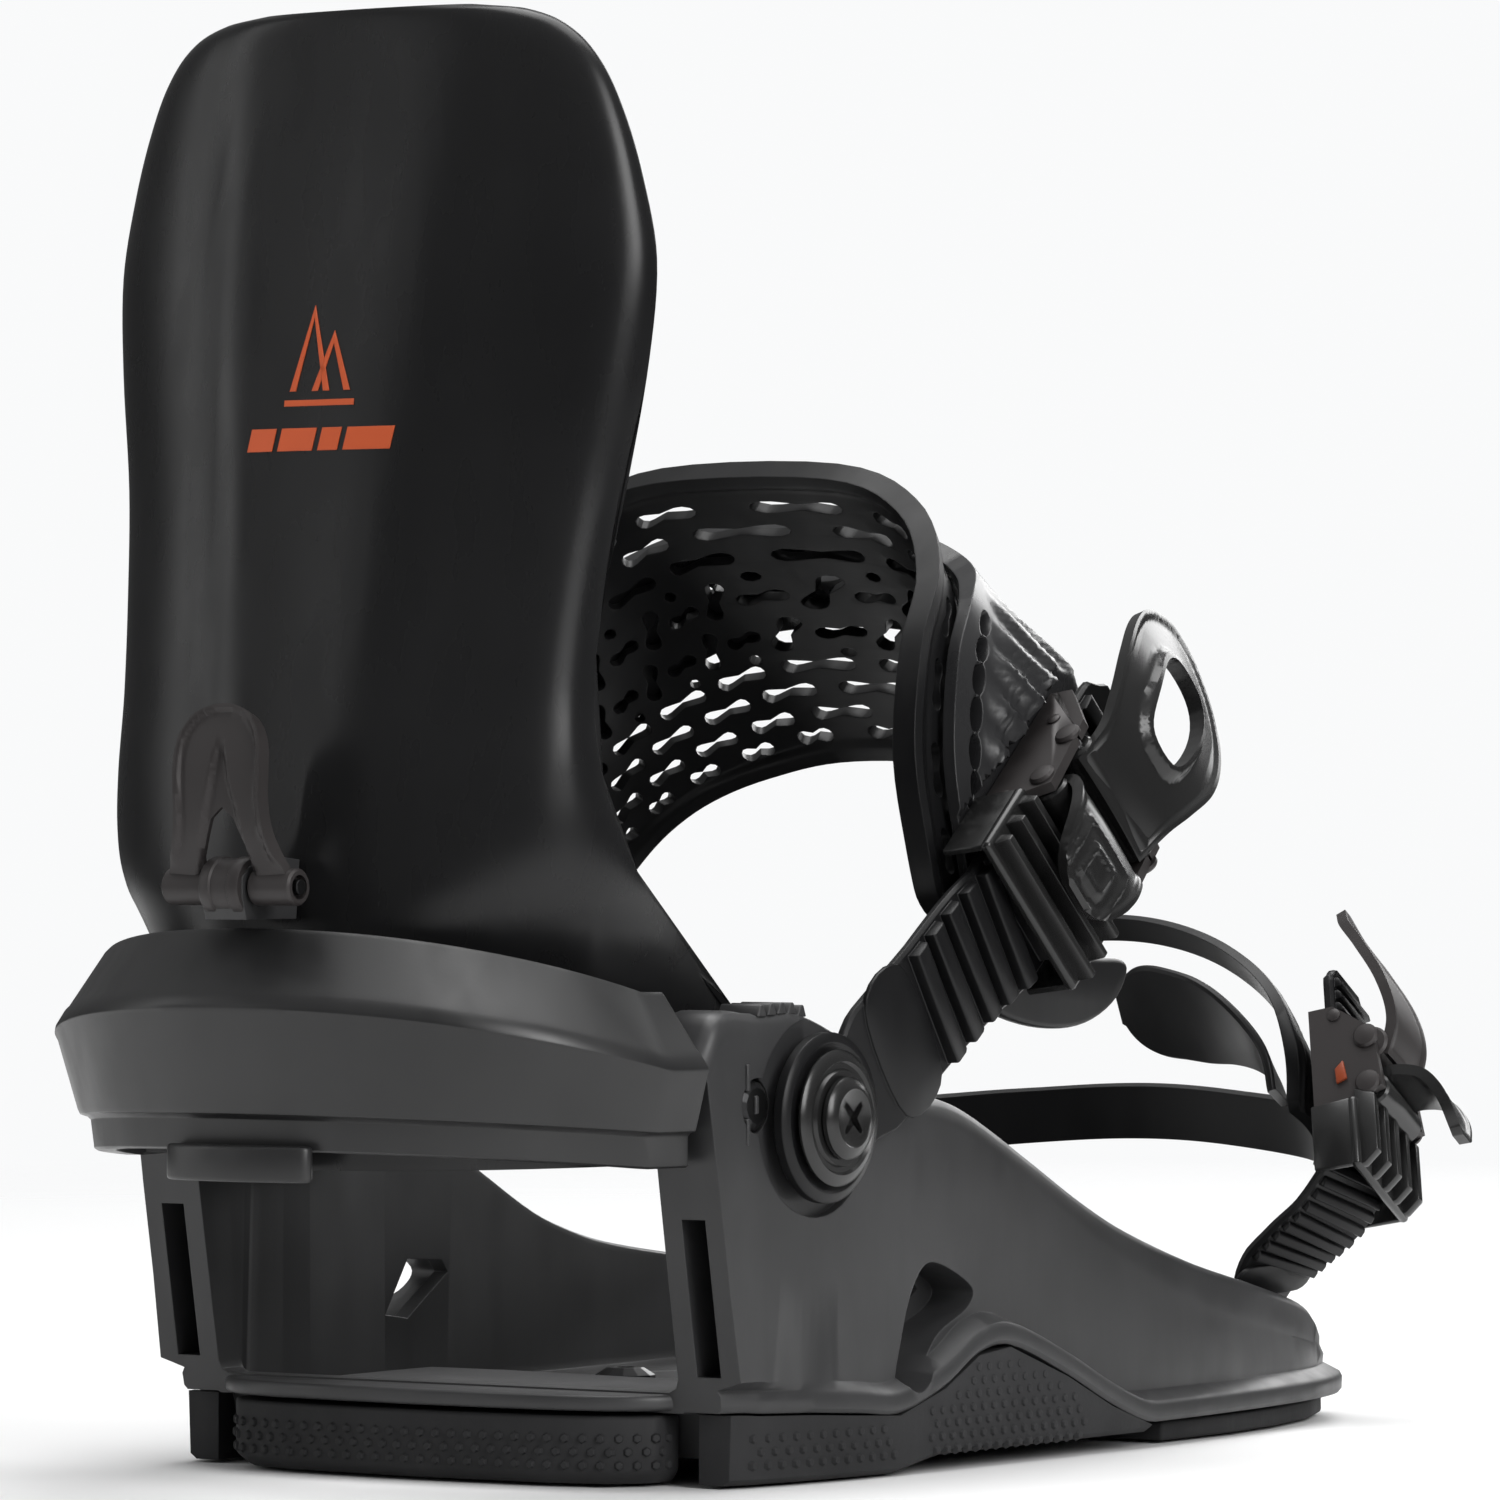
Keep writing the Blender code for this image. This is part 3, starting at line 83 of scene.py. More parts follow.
# turns an outline's x and y into a frame's x and z, so that it is pushed along the frame's y
ACROSS = Matrix(((1, 0, 0, 0), (0, 0, 1, 0), (0, 1, 0, 0), (0, 0, 0, 1)))


# ---- finishes


class NodeSheet:
    """A material's node tree, with short ways to add and join its nodes."""

    def __init__(self, name: str) -> None:
        """Starts an empty Principled material of that name.

        Args:
            name: The material's name.
        """
        self.material = bpy.data.materials.new(name)
        self.material.use_nodes = True
        self.tree = self.material.node_tree
        self.shader = self.tree.nodes["Principled BSDF"]
        self.coords = self.add("ShaderNodeTexCoord").outputs["Object"]

    def add(self, kind: str, **settings: object) -> bpy.types.Node:
        """Adds a node of that kind and sets its plain properties.

        Args:
            kind: The node's type.
            settings: Its plain properties, by name.

        Returns:
            The node.
        """
        node = self.tree.nodes.new(kind)
        for key, value in settings.items():
            setattr(node, key, value)
        return node

    def join(self, start: Socket, end: Socket) -> None:
        """Links one socket to another."""
        self.tree.links.new(start, end)

    def noise(self, scale: float, detail: float = 2.0, stretch: Sequence[float] = (1, 1, 1)) -> Socket:
        """A noise pattern in the row frame.

        Args:
            scale: Cycles per metre.
            detail: Octaves of finer noise.
            stretch: How much each axis is scaled before the noise.

        Returns:
            The noise's factor socket.
        """
        mapping = self.add("ShaderNodeMapping")
        mapping.inputs["Scale"].default_value = stretch
        self.join(self.coords, mapping.inputs["Vector"])
        node = self.add("ShaderNodeTexNoise")
        node.inputs["Scale"].default_value = scale
        node.inputs["Detail"].default_value = detail
        self.join(mapping.outputs["Vector"], node.inputs["Vector"])
        return node.outputs["Fac"]

    def ranged(self, source: Socket, near: Point, far: Point) -> Socket:
        """Maps a value from one span to another.

        Args:
            source: The value to map.
            near: The source's lowest and highest value.
            far: What those become.

        Returns:
            The mapped value's socket.
        """
        node = self.add("ShaderNodeMapRange")
        for key, value in zip(("From Min", "From Max", "To Min", "To Max"), (*near, *far)):
            node.inputs[key].default_value = value
        self.join(source, node.inputs["Value"])
        return node.outputs["Result"]

    def mixed(self, share: Socket, dark: Sequence[float], light: Sequence[float]) -> Socket:
        """Mixes two colours by a share.

        Args:
            share: How much of the light colour shows.
            dark: The colour at 0.
            light: The colour at 1.

        Returns:
            The mixed colour's socket.
        """
        node = self.add("ShaderNodeMix", data_type="RGBA")
        node.inputs[6].default_value = (*dark, 1)
        node.inputs[7].default_value = (*light, 1)
        self.join(share, node.inputs[0])
        return node.outputs[2]


class Relief(Enum):
    """What the fine surface of a finish is like."""

    SPARK = "noise"
    PEBBLE = "voronoi"
    SATIN = "fine noise"
    BRUSHED = "stretched noise"


@dataclass(frozen=True)
class Finish:
    """A procedural finish: colour that drifts, uneven gloss, fine relief, and softened, slightly worn edges."""

    name: str
    slot: str
    colour: Triple
    rough: float
    rough_spread: float = 0.06
    relief: Relief = Relief.SPARK
    cycles: float = 2400.0
    strength: float = 0.18
    depth: float = 0.00004
    drift: float = 0.3
    wear: float = 0.25
    edge: float = 0.00035
    metallic: float = 0.0
    coat: float = 0.0
    coat_rough: float = 0.15
    sheen: float = 0.0
    specular: float = 0.5

    def material(self) -> bpy.types.Material:
        """Makes the material, once.

        Returns:
            The material, the same one at each call.
        """
        found = bpy.data.materials.get(self.name)
        if found:
            return found
        sheet = NodeSheet(self.name)
        shader = sheet.shader
        light = tuple(min(1.0, c * (1 + self.drift) + 0.002) for c in self.colour)
        dark = tuple(c * (1 - self.drift) for c in self.colour)
        cloud = sheet.ranged(sheet.noise(22.0, 3.0), (0.3, 0.7), (0.0, 1.0))
        colour = sheet.mixed(cloud, dark, light)
        soft = sheet.add("ShaderNodeBevel", samples=4)
        soft.inputs["Radius"].default_value = self.edge
        if self.wear:
            true = sheet.add("ShaderNodeNewGeometry").outputs["Normal"]
            dot = sheet.add("ShaderNodeVectorMath", operation="DOT_PRODUCT")
            sheet.join(soft.outputs["Normal"], dot.inputs[0])
            sheet.join(true, dot.inputs[1])
            share = sheet.ranged(dot.outputs["Value"], (0.99, 0.80), (0.0, self.wear))
            worn = sheet.add("ShaderNodeMix", data_type="RGBA")
            worn.inputs[7].default_value = (*(min(1.0, c * 2.6 + 0.012) for c in self.colour), 1)
            sheet.join(share, worn.inputs[0])
            sheet.join(colour, worn.inputs[6])
            colour = worn.outputs[2]
        sheet.join(colour, shader.inputs["Base Color"])
        smear = sheet.noise(140.0, 4.0, (1.0, 1.0, 0.35))
        low, high = max(0.02, self.rough - self.rough_spread), min(1.0, self.rough + self.rough_spread)
        sheet.join(sheet.ranged(smear, (0.3, 0.7), (low, high)), shader.inputs["Roughness"])
        sheet.join(self.bumped(sheet, soft.outputs["Normal"]), shader.inputs["Normal"])
        shader.inputs["Metallic"].default_value = self.metallic
        shader.inputs["Coat Weight"].default_value = self.coat
        shader.inputs["Coat Roughness"].default_value = self.coat_rough
        shader.inputs["Sheen Weight"].default_value = self.sheen
        shader.inputs["Specular IOR Level"].default_value = self.specular
        return sheet.material

    def bumped(self, sheet: NodeSheet, normal: Socket) -> Socket:
        """The finish's fine relief.

        Args:
            sheet: The material's nodes.
            normal: The softened normal that the relief stands on.

        Returns:
            The bumped normal's socket.
        """
        if self.relief is Relief.PEBBLE:
            cells = sheet.add("ShaderNodeTexVoronoi", feature="SMOOTH_F1")
            cells.inputs["Scale"].default_value = self.cycles
            sheet.join(sheet.coords, cells.inputs["Vector"])
            height = cells.outputs["Distance"]
        else:
            stretch = (1.0, 1.0, 0.04) if self.relief is Relief.BRUSHED else (1.0, 1.0, 1.0)
            height = sheet.noise(self.cycles, 3.0 if self.relief is Relief.SATIN else 1.5, stretch)
        bump = sheet.add("ShaderNodeBump")
        bump.inputs["Strength"].default_value = self.strength
        bump.inputs["Distance"].default_value = self.depth
        sheet.join(height, bump.inputs["Height"])
        sheet.join(normal, bump.inputs["Normal"])
        return bump.outputs["Normal"]


CHASSIS = Finish("chassis_nylon", "nylon", (0.026, 0.026, 0.027), 0.42, strength=0.22, cycles=2000.0)
LOOP = Finish("loop_nylon", "nylon", (0.0135, 0.0135, 0.014), 0.36, strength=0.16, cycles=2000.0)
SHELL = Finish("back_nylon", "gloss_nylon", (0.0085, 0.0085, 0.009), 0.28, relief=Relief.SATIN, strength=0.06,
               wear=0.2, drift=0.05, specular=0.3, rough_spread=0.03)
GLOSS = Finish("gloss_nylon", "gloss_nylon", (0.007, 0.007, 0.0075), 0.16, relief=Relief.SATIN, strength=0.04,
               wear=0.0, coat=0.8, coat_rough=0.05)
RUBBER = Finish("foot_rubber", "rubber", (0.016, 0.016, 0.017), 0.72, relief=Relief.PEBBLE, cycles=1200.0,
                strength=0.35, depth=0.00008, specular=0.35)
FOAM = Finish("bed_foam", "foam", (0.045, 0.045, 0.047), 0.88, relief=Relief.PEBBLE, cycles=900.0, strength=0.5,
              depth=0.00015, wear=0.1, sheen=0.2, specular=0.3)
STRAP = Finish("strap_polymer", "flexible", (0.006, 0.006, 0.0065), 0.36, relief=Relief.SATIN, strength=0.12,
               wear=0.15, specular=0.24, drift=0.1)
CARRIER = Finish("frame_nylon", "nylon", (0.014, 0.014, 0.015), 0.30, relief=Relief.SATIN, strength=0.12, wear=0.3)
ALLOY = Finish("black_alloy", "black_alloy", (0.095, 0.096, 0.100), 0.09, relief=Relief.BRUSHED, strength=0.08,
               metallic=0.9, wear=0.35, coat=0.6, coat_rough=0.05)
DARK_SCREW = Finish("dark_screw", "steel", (0.03, 0.03, 0.031), 0.34, relief=Relief.BRUSHED, strength=0.1, metallic=0.9,
                    wear=0.2)
STEEL = Finish("plated_steel", "steel", (0.36, 0.36, 0.37), 0.26, relief=Relief.BRUSHED, strength=0.1, metallic=1.0,
               wear=0.15)
AMBER = Finish("amber_plastic", "gloss_nylon", (0.26, 0.045, 0.012), 0.35, drift=0.06, wear=0.0, strength=0.08)
INK = Finish("orange_ink", "gloss_nylon", (0.62, 0.095, 0.02), 0.42, drift=0.06, wear=0.0, strength=0.08)


# ---- mesh helpers


def catmull(points: Sequence[Vector], samples: int) -> list[Vector]:
    """A smooth curve through points.

    Args:
        points: What the curve passes through.
        samples: How many points it takes on each span.

    Returns:
        The curve's points, the last given point among them.
    """
    points = [Vector(p) for p in points]
    ends = [points[0] * 2 - points[1], *points, points[-1] * 2 - points[-2]]
    curve = []
    for i in range(1, len(ends) - 2):
        a, b, c, d = ends[i - 1 : i + 3]
        for k in range(samples):
            t = k / samples
            square, cube = (a * 2 - b * 5 + c * 4 - d) * t * t, (b * 3 - a - c * 3 + d) * t**3
            curve.append(0.5 * (b * 2 + (c - a) * t + square + cube))
    curve.append(points[-1])
    return curve


def eased(low: float, high: float, value: float) -> float:
    """A smooth step from 0 at low to 1 at high."""
    t = max(0.0, min(1.0, (value - low) / (high - low)))
    return t * t * (3 - 2 * t)


def read_row(rows: Sequence[Sequence[float]], at: float) -> list[float]:
    """Reads a smooth table of (key, value, ...) rows.

    Args:
        rows: The rows, by rising key.
        at: The key to read.

    Returns:
        The values there, on a smooth curve through the rows.
    """
    last = len(rows) - 2
    i = next((k for k in range(last) if at <= rows[k + 1][0]), last)
    before, low, high, after = rows[max(i - 1, 0)], rows[i], rows[i + 1], rows[min(i + 2, last + 1)]
    gap = high[0] - low[0]
    t = max(0.0, min(1.0, (at - low[0]) / gap))
    found = []
    for k in range(1, len(low)):
        start = (high[k] - before[k]) / (high[0] - before[0]) * gap
        end = (after[k] - low[k]) / (after[0] - low[0]) * gap
        a = low[k] * (2 * t**3 - 3 * t * t + 1) + start * (t**3 - 2 * t * t + t)
        found.append(a + high[k] * (3 * t * t - 2 * t**3) + end * (t**3 - t * t))
    return found


def sheet_of(across: int, along: int, place: Place) -> Mesh:
    """A grid whose every point is put in place.

    Args:
        across: Segments along the first share.
        along: Segments along the second share.
        place: Where the point at two shares, each from 0 to 1, belongs.

    Returns:
        The mesh, in millimetres.
    """
    work = bmesh.new()
    bmesh.ops.create_grid(work, x_segments=across, y_segments=along, size=0.5)
    for vert in work.verts:
        vert.co = place(vert.co.x + 0.5, vert.co.y + 0.5)
    return work


def closed_up(work: Mesh, gap: float = 0.002) -> Mesh:
    """Merges a wrapped grid's seam and fills its open ends.

    Args:
        work: The wrapped grid, in millimetres.
        gap: How near two points are merged.

    Returns:
        The same mesh, closed.
    """
    bmesh.ops.remove_doubles(work, verts=work.verts, dist=gap)
    bmesh.ops.holes_fill(work, edges=[e for e in work.edges if e.is_boundary], sides=0)
    bmesh.ops.recalc_face_normals(work, faces=work.faces)
    return work


def softened(work: Mesh, width: float, angle: float = 32.0, segments: int = 2) -> Mesh:
    """Rounds every edge that turns by more than an angle.

    Args:
        work: The mesh to round, in millimetres.
        width: How far the rounding reaches.
        angle: The least turn that is rounded, in degrees.
        segments: Faces across the rounding.

    Returns:
        The same mesh.
    """
    turn = math.radians(angle)
    edges = [e for e in work.edges if e.is_manifold and e.calc_face_angle(0.0) > turn]
    bmesh.ops.bevel(work, geom=edges, offset=width, offset_type="OFFSET", affect="EDGES", segments=segments,
                    profile=0.5, material=-1, clamp_overlap=True, loop_slide=True)
    return work


def block(outline: Iterable[Point], low: float, high: float, matrix: Matrix | None = None) -> Mesh:
    """An outline pushed along the local z axis.

    Args:
        outline: Points in the local x and y.
        low: Where the block starts.
        high: Where it ends.
        matrix: The local frame's place.

    Returns:
        The closed mesh.
    """
    work = bmesh.new()
    face = work.faces.new([work.verts.new((x, y, low)) for x, y in outline])
    made = bmesh.ops.extrude_face_region(work, geom=[face])
    tops = [g for g in made["geom"] if isinstance(g, bmesh.types.BMVert)]
    bmesh.ops.translate(work, vec=(0, 0, high - low), verts=tops)
    if matrix is not None:
        bmesh.ops.transform(work, matrix=matrix, verts=work.verts)
    bmesh.ops.recalc_face_normals(work, faces=work.faces)
    return work


def spun(profile: Sequence[Point], matrix: Matrix, steps: int = 48) -> Mesh:
    """A profile of (radius, height) turned about the local z axis.

    Args:
        profile: The profile's points; it may start and end on the axis.
        matrix: The local frame's place.
        steps: Segments round.

    Returns:
        The closed mesh.
    """
    work = bmesh.new()
    verts = [work.verts.new((r, 0, h)) for r, h in profile]
    edges = [work.edges.new(pair) for pair in zip(verts, verts[1:])]
    bmesh.ops.spin(work, geom=verts + edges, cent=(0, 0, 0), axis=(0, 0, 1), angle=math.tau, steps=steps,
                   use_merge=True, use_duplicate=False)
    bmesh.ops.remove_doubles(work, verts=work.verts, dist=0.001)
    bmesh.ops.transform(work, matrix=matrix, verts=work.verts)
    bmesh.ops.recalc_face_normals(work, faces=work.faces)
    return work


def linked(name: str, data: bpy.types.ID) -> bpy.types.Object:
    """Puts a new object for some data into the scene.

    Args:
        name: The object's name.
        data: Its mesh, curve, light or camera.

    Returns:
        The object.
    """
    obj = bpy.data.objects.new(name, data)
    bpy.context.scene.collection.objects.link(obj)
    return obj


def evaluated_mesh(obj: bpy.types.Object) -> bpy.types.Mesh:
    """A new mesh of what an object's modifiers or curve make."""
    bpy.context.view_layer.update()
    return bpy.data.meshes.new_from_object(obj.evaluated_get(bpy.context.evaluated_depsgraph_get()))


def joined(parts: Iterable[Mesh]) -> Mesh:
    """Makes several meshes one.

    Args:
        parts: The meshes, which are used up.

    Returns:
        One mesh that holds them all.
    """
    whole = bmesh.new()
    for part in parts:
        mesh = bpy.data.meshes.new("part")
        part.to_mesh(mesh)
        part.free()
        whole.from_mesh(mesh)
        bpy.data.meshes.remove(mesh)
    return whole


def axis_frame(origin: Sequence[float], axis: Sequence[float], up: Sequence[float] = (0, 0, 1)) -> Matrix:
    """A frame at origin whose local z runs along an axis and whose local y leans towards up.

    Args:
        origin: The frame's place.
        axis: Where its z points.
        up: What its y leans towards.

    Returns:
        The frame's matrix.
    """
    z = Vector(axis).normalized()
    x = Vector(up).cross(z).normalized()
    turn = Matrix((x, z.cross(x), z)).transposed().to_4x4()
    return Matrix.Translation(Vector(origin)) @ turn


def piece(name: str, work: Mesh, finish: Finish, body: str, *stands_for: str,
          metres: bool = False, sharp: float = SHARP) -> bpy.types.Object:
    """Makes a finished piece of a mesh and lets it ride on a body.

    Args:
        name: The piece's name.
        work: Its mesh, in millimetres unless metres is set; it is used up.
        finish: What it is made of.
        body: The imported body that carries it.
        stands_for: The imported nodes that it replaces.
        metres: Whether the mesh is in metres.
        sharp: The turn past which an edge is shaded sharp.

    Returns:
        The piece's object.
    """
    if not metres:
        bmesh.ops.scale(work, vec=(MM, MM, MM), verts=work.verts)
    mesh = bpy.data.meshes.new(name)
    work.to_mesh(mesh)
    work.free()
    mesh.materials.append(finish.material())
    mesh.shade_smooth()
    mesh.set_sharp_from_angle(angle=sharp)
    obj = linked(name, mesh)
    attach(obj, body)
    if stands_for:
        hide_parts(*stands_for)
    LOG.info("%s: %d faces on %s", name, len(mesh.polygons), body)
    return obj


def node_mesh(node: str, millimetres: bool = True) -> Mesh:
    """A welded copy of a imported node's mesh.

    Args:
        node: The node's name.
        millimetres: Whether the copy is scaled to millimetres.

    Returns:
        The copy, with flat faces made whole again.
    """
    work = bmesh.new()
    work.from_mesh(FRAME["nodes"][node].data)
    bmesh.ops.remove_doubles(work, verts=work.verts, dist=WELD)
    bmesh.ops.dissolve_limit(work, angle_limit=FLAT, verts=work.verts, edges=work.edges)
    if millimetres:
        bmesh.ops.scale(work, vec=(1 / MM,) * 3, verts=work.verts)
    return work


def dressed_copy(node: str, finish: Finish, body: str, width: float = 0.0) -> bpy.types.Object:
    """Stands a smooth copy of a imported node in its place.

    Args:
        node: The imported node's name.
        finish: What the copy is made of.
        body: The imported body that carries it.
        width: How far its edges are rounded, or 0.

    Returns:
        The copy.
    """
    work = node_mesh(node)
    if width:
        softened(work, width)
    return piece(f"{node}_skin", work, finish, body, node)


# ---- highback


@dataclass
class Highback:
    """The tall shell behind the calf, with soft creases either side of its middle, its pad and its printed mark."""

    thickness: float = 3.6
    crease_top: float = 26.0
    crease_foot: float = 14.0
    crease_height: float = 1.1
    half_ring: int = 36
    courses: int = 114
    mark_foot: float = 179.6
    # height, half width, y of the side edges, y of the centre line, roundness of the section
    stations: Sequence[Sequence[float]] = (
        (55.5, 45.2, -72.0, -155.0, 2.5), (63.5, 45.6, -68.5, -155.8, 2.6), (74.0, 45.8, -71.0, -154.6, 2.6),
        (82.0, 45.8, -80.0, -153.6, 2.6), (89.0, 47.2, -92.4, -152.8, 2.6), (97.0, 49.8, -105.2, -152.0, 2.55),
        (104.0, 51.8, -116.4, -151.2, 2.5), (112.0, 52.0, -123.2, -150.2, 2.45), (124.0, 50.6, -128.0, -148.6, 2.4),
        (138.0, 49.6, -128.8, -146.6, 2.35), (155.0, 50.6, -126.8, -144.4, 2.3), (174.0, 53.0, -123.4, -141.9, 2.25),
        (195.0, 56.2, -121.6, -139.4, 2.2), (212.0, 57.2, -120.8, -137.2, 2.2), (226.0, 54.6, -121.2, -135.0, 2.2),
        (238.0, 50.8, -121.8, -133.2, 2.2), (247.0, 46.2, -122.6, -131.8, 2.2), (253.0, 40.0, -123.6, -130.8, 2.2),
        (256.0, 32.0, -124.6, -130.2, 2.2), (257.0, 23.0, -125.6, -129.8, 2.2),
    )

    def relief(self, x: float, z: float) -> float:
        """How far the outer face stands proud of the plain shell at a point.

        Args:
            x: Place across the shell.
            z: Height over the board.

        Returns:
            The rise, in millimetres.
        """
        middle = self.crease_foot + (self.crease_top - self.crease_foot) * eased(95.0, 235.0, z)
        inside = 1.0 - eased(middle - 3.0, middle + 5.0, abs(x))
        fade = eased(92.0, 120.0, z) * (1.0 - 0.75 * eased(225.0, 256.0, z))
        return self.crease_height * inside * fade

    def rear(self, x: float, z: float) -> Vector:
        """The point of the outer face behind an x and a height.

        Args:
            x: Place across the shell.
            z: Height over the board.

        Returns:
            The point.
        """
        half, y_edge, y_centre, power = read_row(self.stations, z)
        share = min(1.0, abs(x) / half)
        y = y_edge - (y_edge - y_centre) * (1 - share**power) ** (1 / power)
        return Vector((x, y - self.relief(x, z), z))

    def around(self, u: float, v: float) -> Vector:
        """A point of the shell: u goes round its section and v up it.

        Args:
            u: Share round the section, its outer face first.
            v: Share of the height.

        Returns:
            The point.
        """
        rows = self.stations
        place = v * (len(rows) - 1)
        below = min(int(place), len(rows) - 2)
        z = rows[-1][0] if v >= 1 else rows[below][0] + (rows[below + 1][0] - rows[below][0]) * (place - below)
        half, y_edge, y_centre, power = read_row(rows, z)
        wall = min(self.thickness, (y_edge - y_centre) * 0.8)
        outside = u <= 0.5
        share = 2 * u if outside else 2 - 2 * u
        inset = 0.0 if outside else wall
        angle = math.pi * share
        c, s = math.cos(angle), math.sin(angle)
        x = (half - inset) * math.copysign(abs(c) ** (2 / power), c)
        y = y_edge - max(y_edge - y_centre - inset, 0.6) * abs(s) ** (2 / power)
        if outside:
            y -= self.relief(x, z)
        return Vector((x, y, z))

    def shell(self) -> bpy.types.Object:
        """Builds the shell.

        Returns:
            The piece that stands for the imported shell.
        """
        sheet = closed_up(sheet_of(2 * self.half_ring + 1, self.courses, self.around))
        softened(sheet, 1.1, 50.0, 3)
        for side in (1, -1):
            frame = axis_frame((side * 20.0, *STRAP_BOLT), (side, 0, 0))
            sheet = carved(sheet, spun([(0, 0), (STRAP_BORE, 0), (STRAP_BORE, 60), (0, 60)], frame, 28))
        return piece("highback_shell", sheet, SHELL, "highback", "highback")

    def flat_mark(self, name: str, shapes: Iterable[Sequence[Point]]) -> bpy.types.Object:
        """Lays flat shapes, in x and z, as ink on the outer face.

        Args:
            name: The piece's name.
            shapes: The shapes' outlines.

        Returns:
            The piece.
        """
        parts = []
        for shape in shapes:
            part = block(shape, 0.0, 1.0)
            for level in range(1, 60):
                cut = 120.0 + 2.0 * level
                bmesh.ops.bisect_plane(part, geom=[*part.verts, *part.edges, *part.faces],
                                       plane_co=(0, cut, 0), plane_no=(0, 1, 0))
            parts.append(part)
        ink = joined(parts)
        for vert in ink.verts:
            x, z, lift = vert.co
            vert.co = self.rear(x, z) + Vector((0, -0.02 - 0.14 * lift, 0))
        bmesh.ops.recalc_face_normals(ink, faces=ink.faces)
        return piece(name, ink, INK, "highback")

    def mark(self) -> bpy.types.Object:
        """Prints a plain mark: two hills on a line over a row of bars.

        Returns:
            The printed piece.
        """
        foot, line, shapes = self.mark_foot, 0.95, []
        low = foot + 10.4
        for left, right, tall in ((-6.4, 2.2, 15.0), (-1.6, 6.6, 10.5)):
            middle, peak = (left + right) / 2, low + tall
            shapes.append([(left, low), (left + line * 1.4, low), (middle, peak - line * 2.3), (middle, peak)])
            shapes.append([(right, low), (middle, peak), (middle, peak - line * 2.3), (right - line * 1.4, low)])
        shapes.append([(-7.4, low - 2.6), (7.6, low - 2.6), (7.6, low - 1.5), (-7.4, low - 1.5)])
        for start, end in ((-15.6, -10.0), (-8.8, -1.2), (0.0, 4.2), (5.4, 15.2)):
            shapes.append([(start + 0.5, foot), (end + 0.5, foot), (end + 1.3, foot + 4.0), (start + 1.3, foot + 4.0)])
        return self.flat_mark("highback_mark", shapes)

    def pad(self) -> bpy.types.Object:
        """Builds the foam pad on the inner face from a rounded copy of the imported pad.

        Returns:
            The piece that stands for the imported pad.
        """
        work = node_mesh("highback_pad")
        bmesh.ops.subdivide_edges(work, edges=work.edges, cuts=1, use_grid_fill=True)
        softened(work, 0.8, 40.0, 2)
        pad = piece("highback_pad_skin", work, FOAM, "highback", "highback_pad")
        return pad

    def build(self) -> list[bpy.types.Object]:
        """Builds all of the highback's pieces."""
        return [self.shell(), self.mark(), self.pad()]


def carved(work: Mesh, tool: Mesh, operation: str = "DIFFERENCE") -> Mesh:
    """Cuts one mesh with another; both are used up.

    Args:
        work: The mesh to cut.
        tool: The mesh that cuts it.
        operation: The Boolean's kind.

    Returns:
        The mesh that is left.
    """
    objs = []
    for name, source in (("carved", work), ("carver", tool)):
        mesh = bpy.data.meshes.new(name)
        source.to_mesh(mesh)
        source.free()
        objs.append(linked(name, mesh))
    modifier = objs[0].modifiers.new("cut", "BOOLEAN")
    modifier.operation, modifier.solver, modifier.object = operation, "EXACT", objs[1]
    result = evaluated_mesh(objs[0])
    left = bmesh.new()
    left.from_mesh(result)
    for obj in objs:
        mesh = obj.data
        bpy.data.objects.remove(obj)
        bpy.data.meshes.remove(mesh)
    bpy.data.meshes.remove(result)
    return left


# ---- straps


def bone(u: float, v: float, length: float, waist: float, bulb: float, turn: float) -> list[Point]:
    """A slot with round ends wider than its middle.

    Args:
        u: Its middle along the strap.
        v: Its middle across the strap.
        length: From end to end.
        waist: Its width at the middle.
        bulb: Its width at the ends.
        turn: Its turn from the strap's length, in degrees.

    Returns:
        The outline.
    """
    reach = length / 2 - bulb / 2
    shape = []
    for end in (1, -1):
        for k in range(7):
            angle = math.radians(-110 + 220 * k / 6)
            shape.append((end * (reach + bulb / 2 * math.cos(angle)), end * bulb / 2 * math.sin(angle)))
        shape.append((0.0, end * waist / 2))
    c, s = math.cos(math.radians(turn)), math.sin(math.radians(turn))
    return [(u + x * c - y * s, v + x * s + y * c) for x, y in shape]


def disc_outline(u: float, v: float, radius: float, sides: int = 10, squash: float = 1.0) -> list[Point]:
    """A round or oval outline."""
    return [(u + radius * math.cos(math.tau * k / sides), v + squash * radius * math.sin(math.tau * k / sides))
            for k in range(sides)]


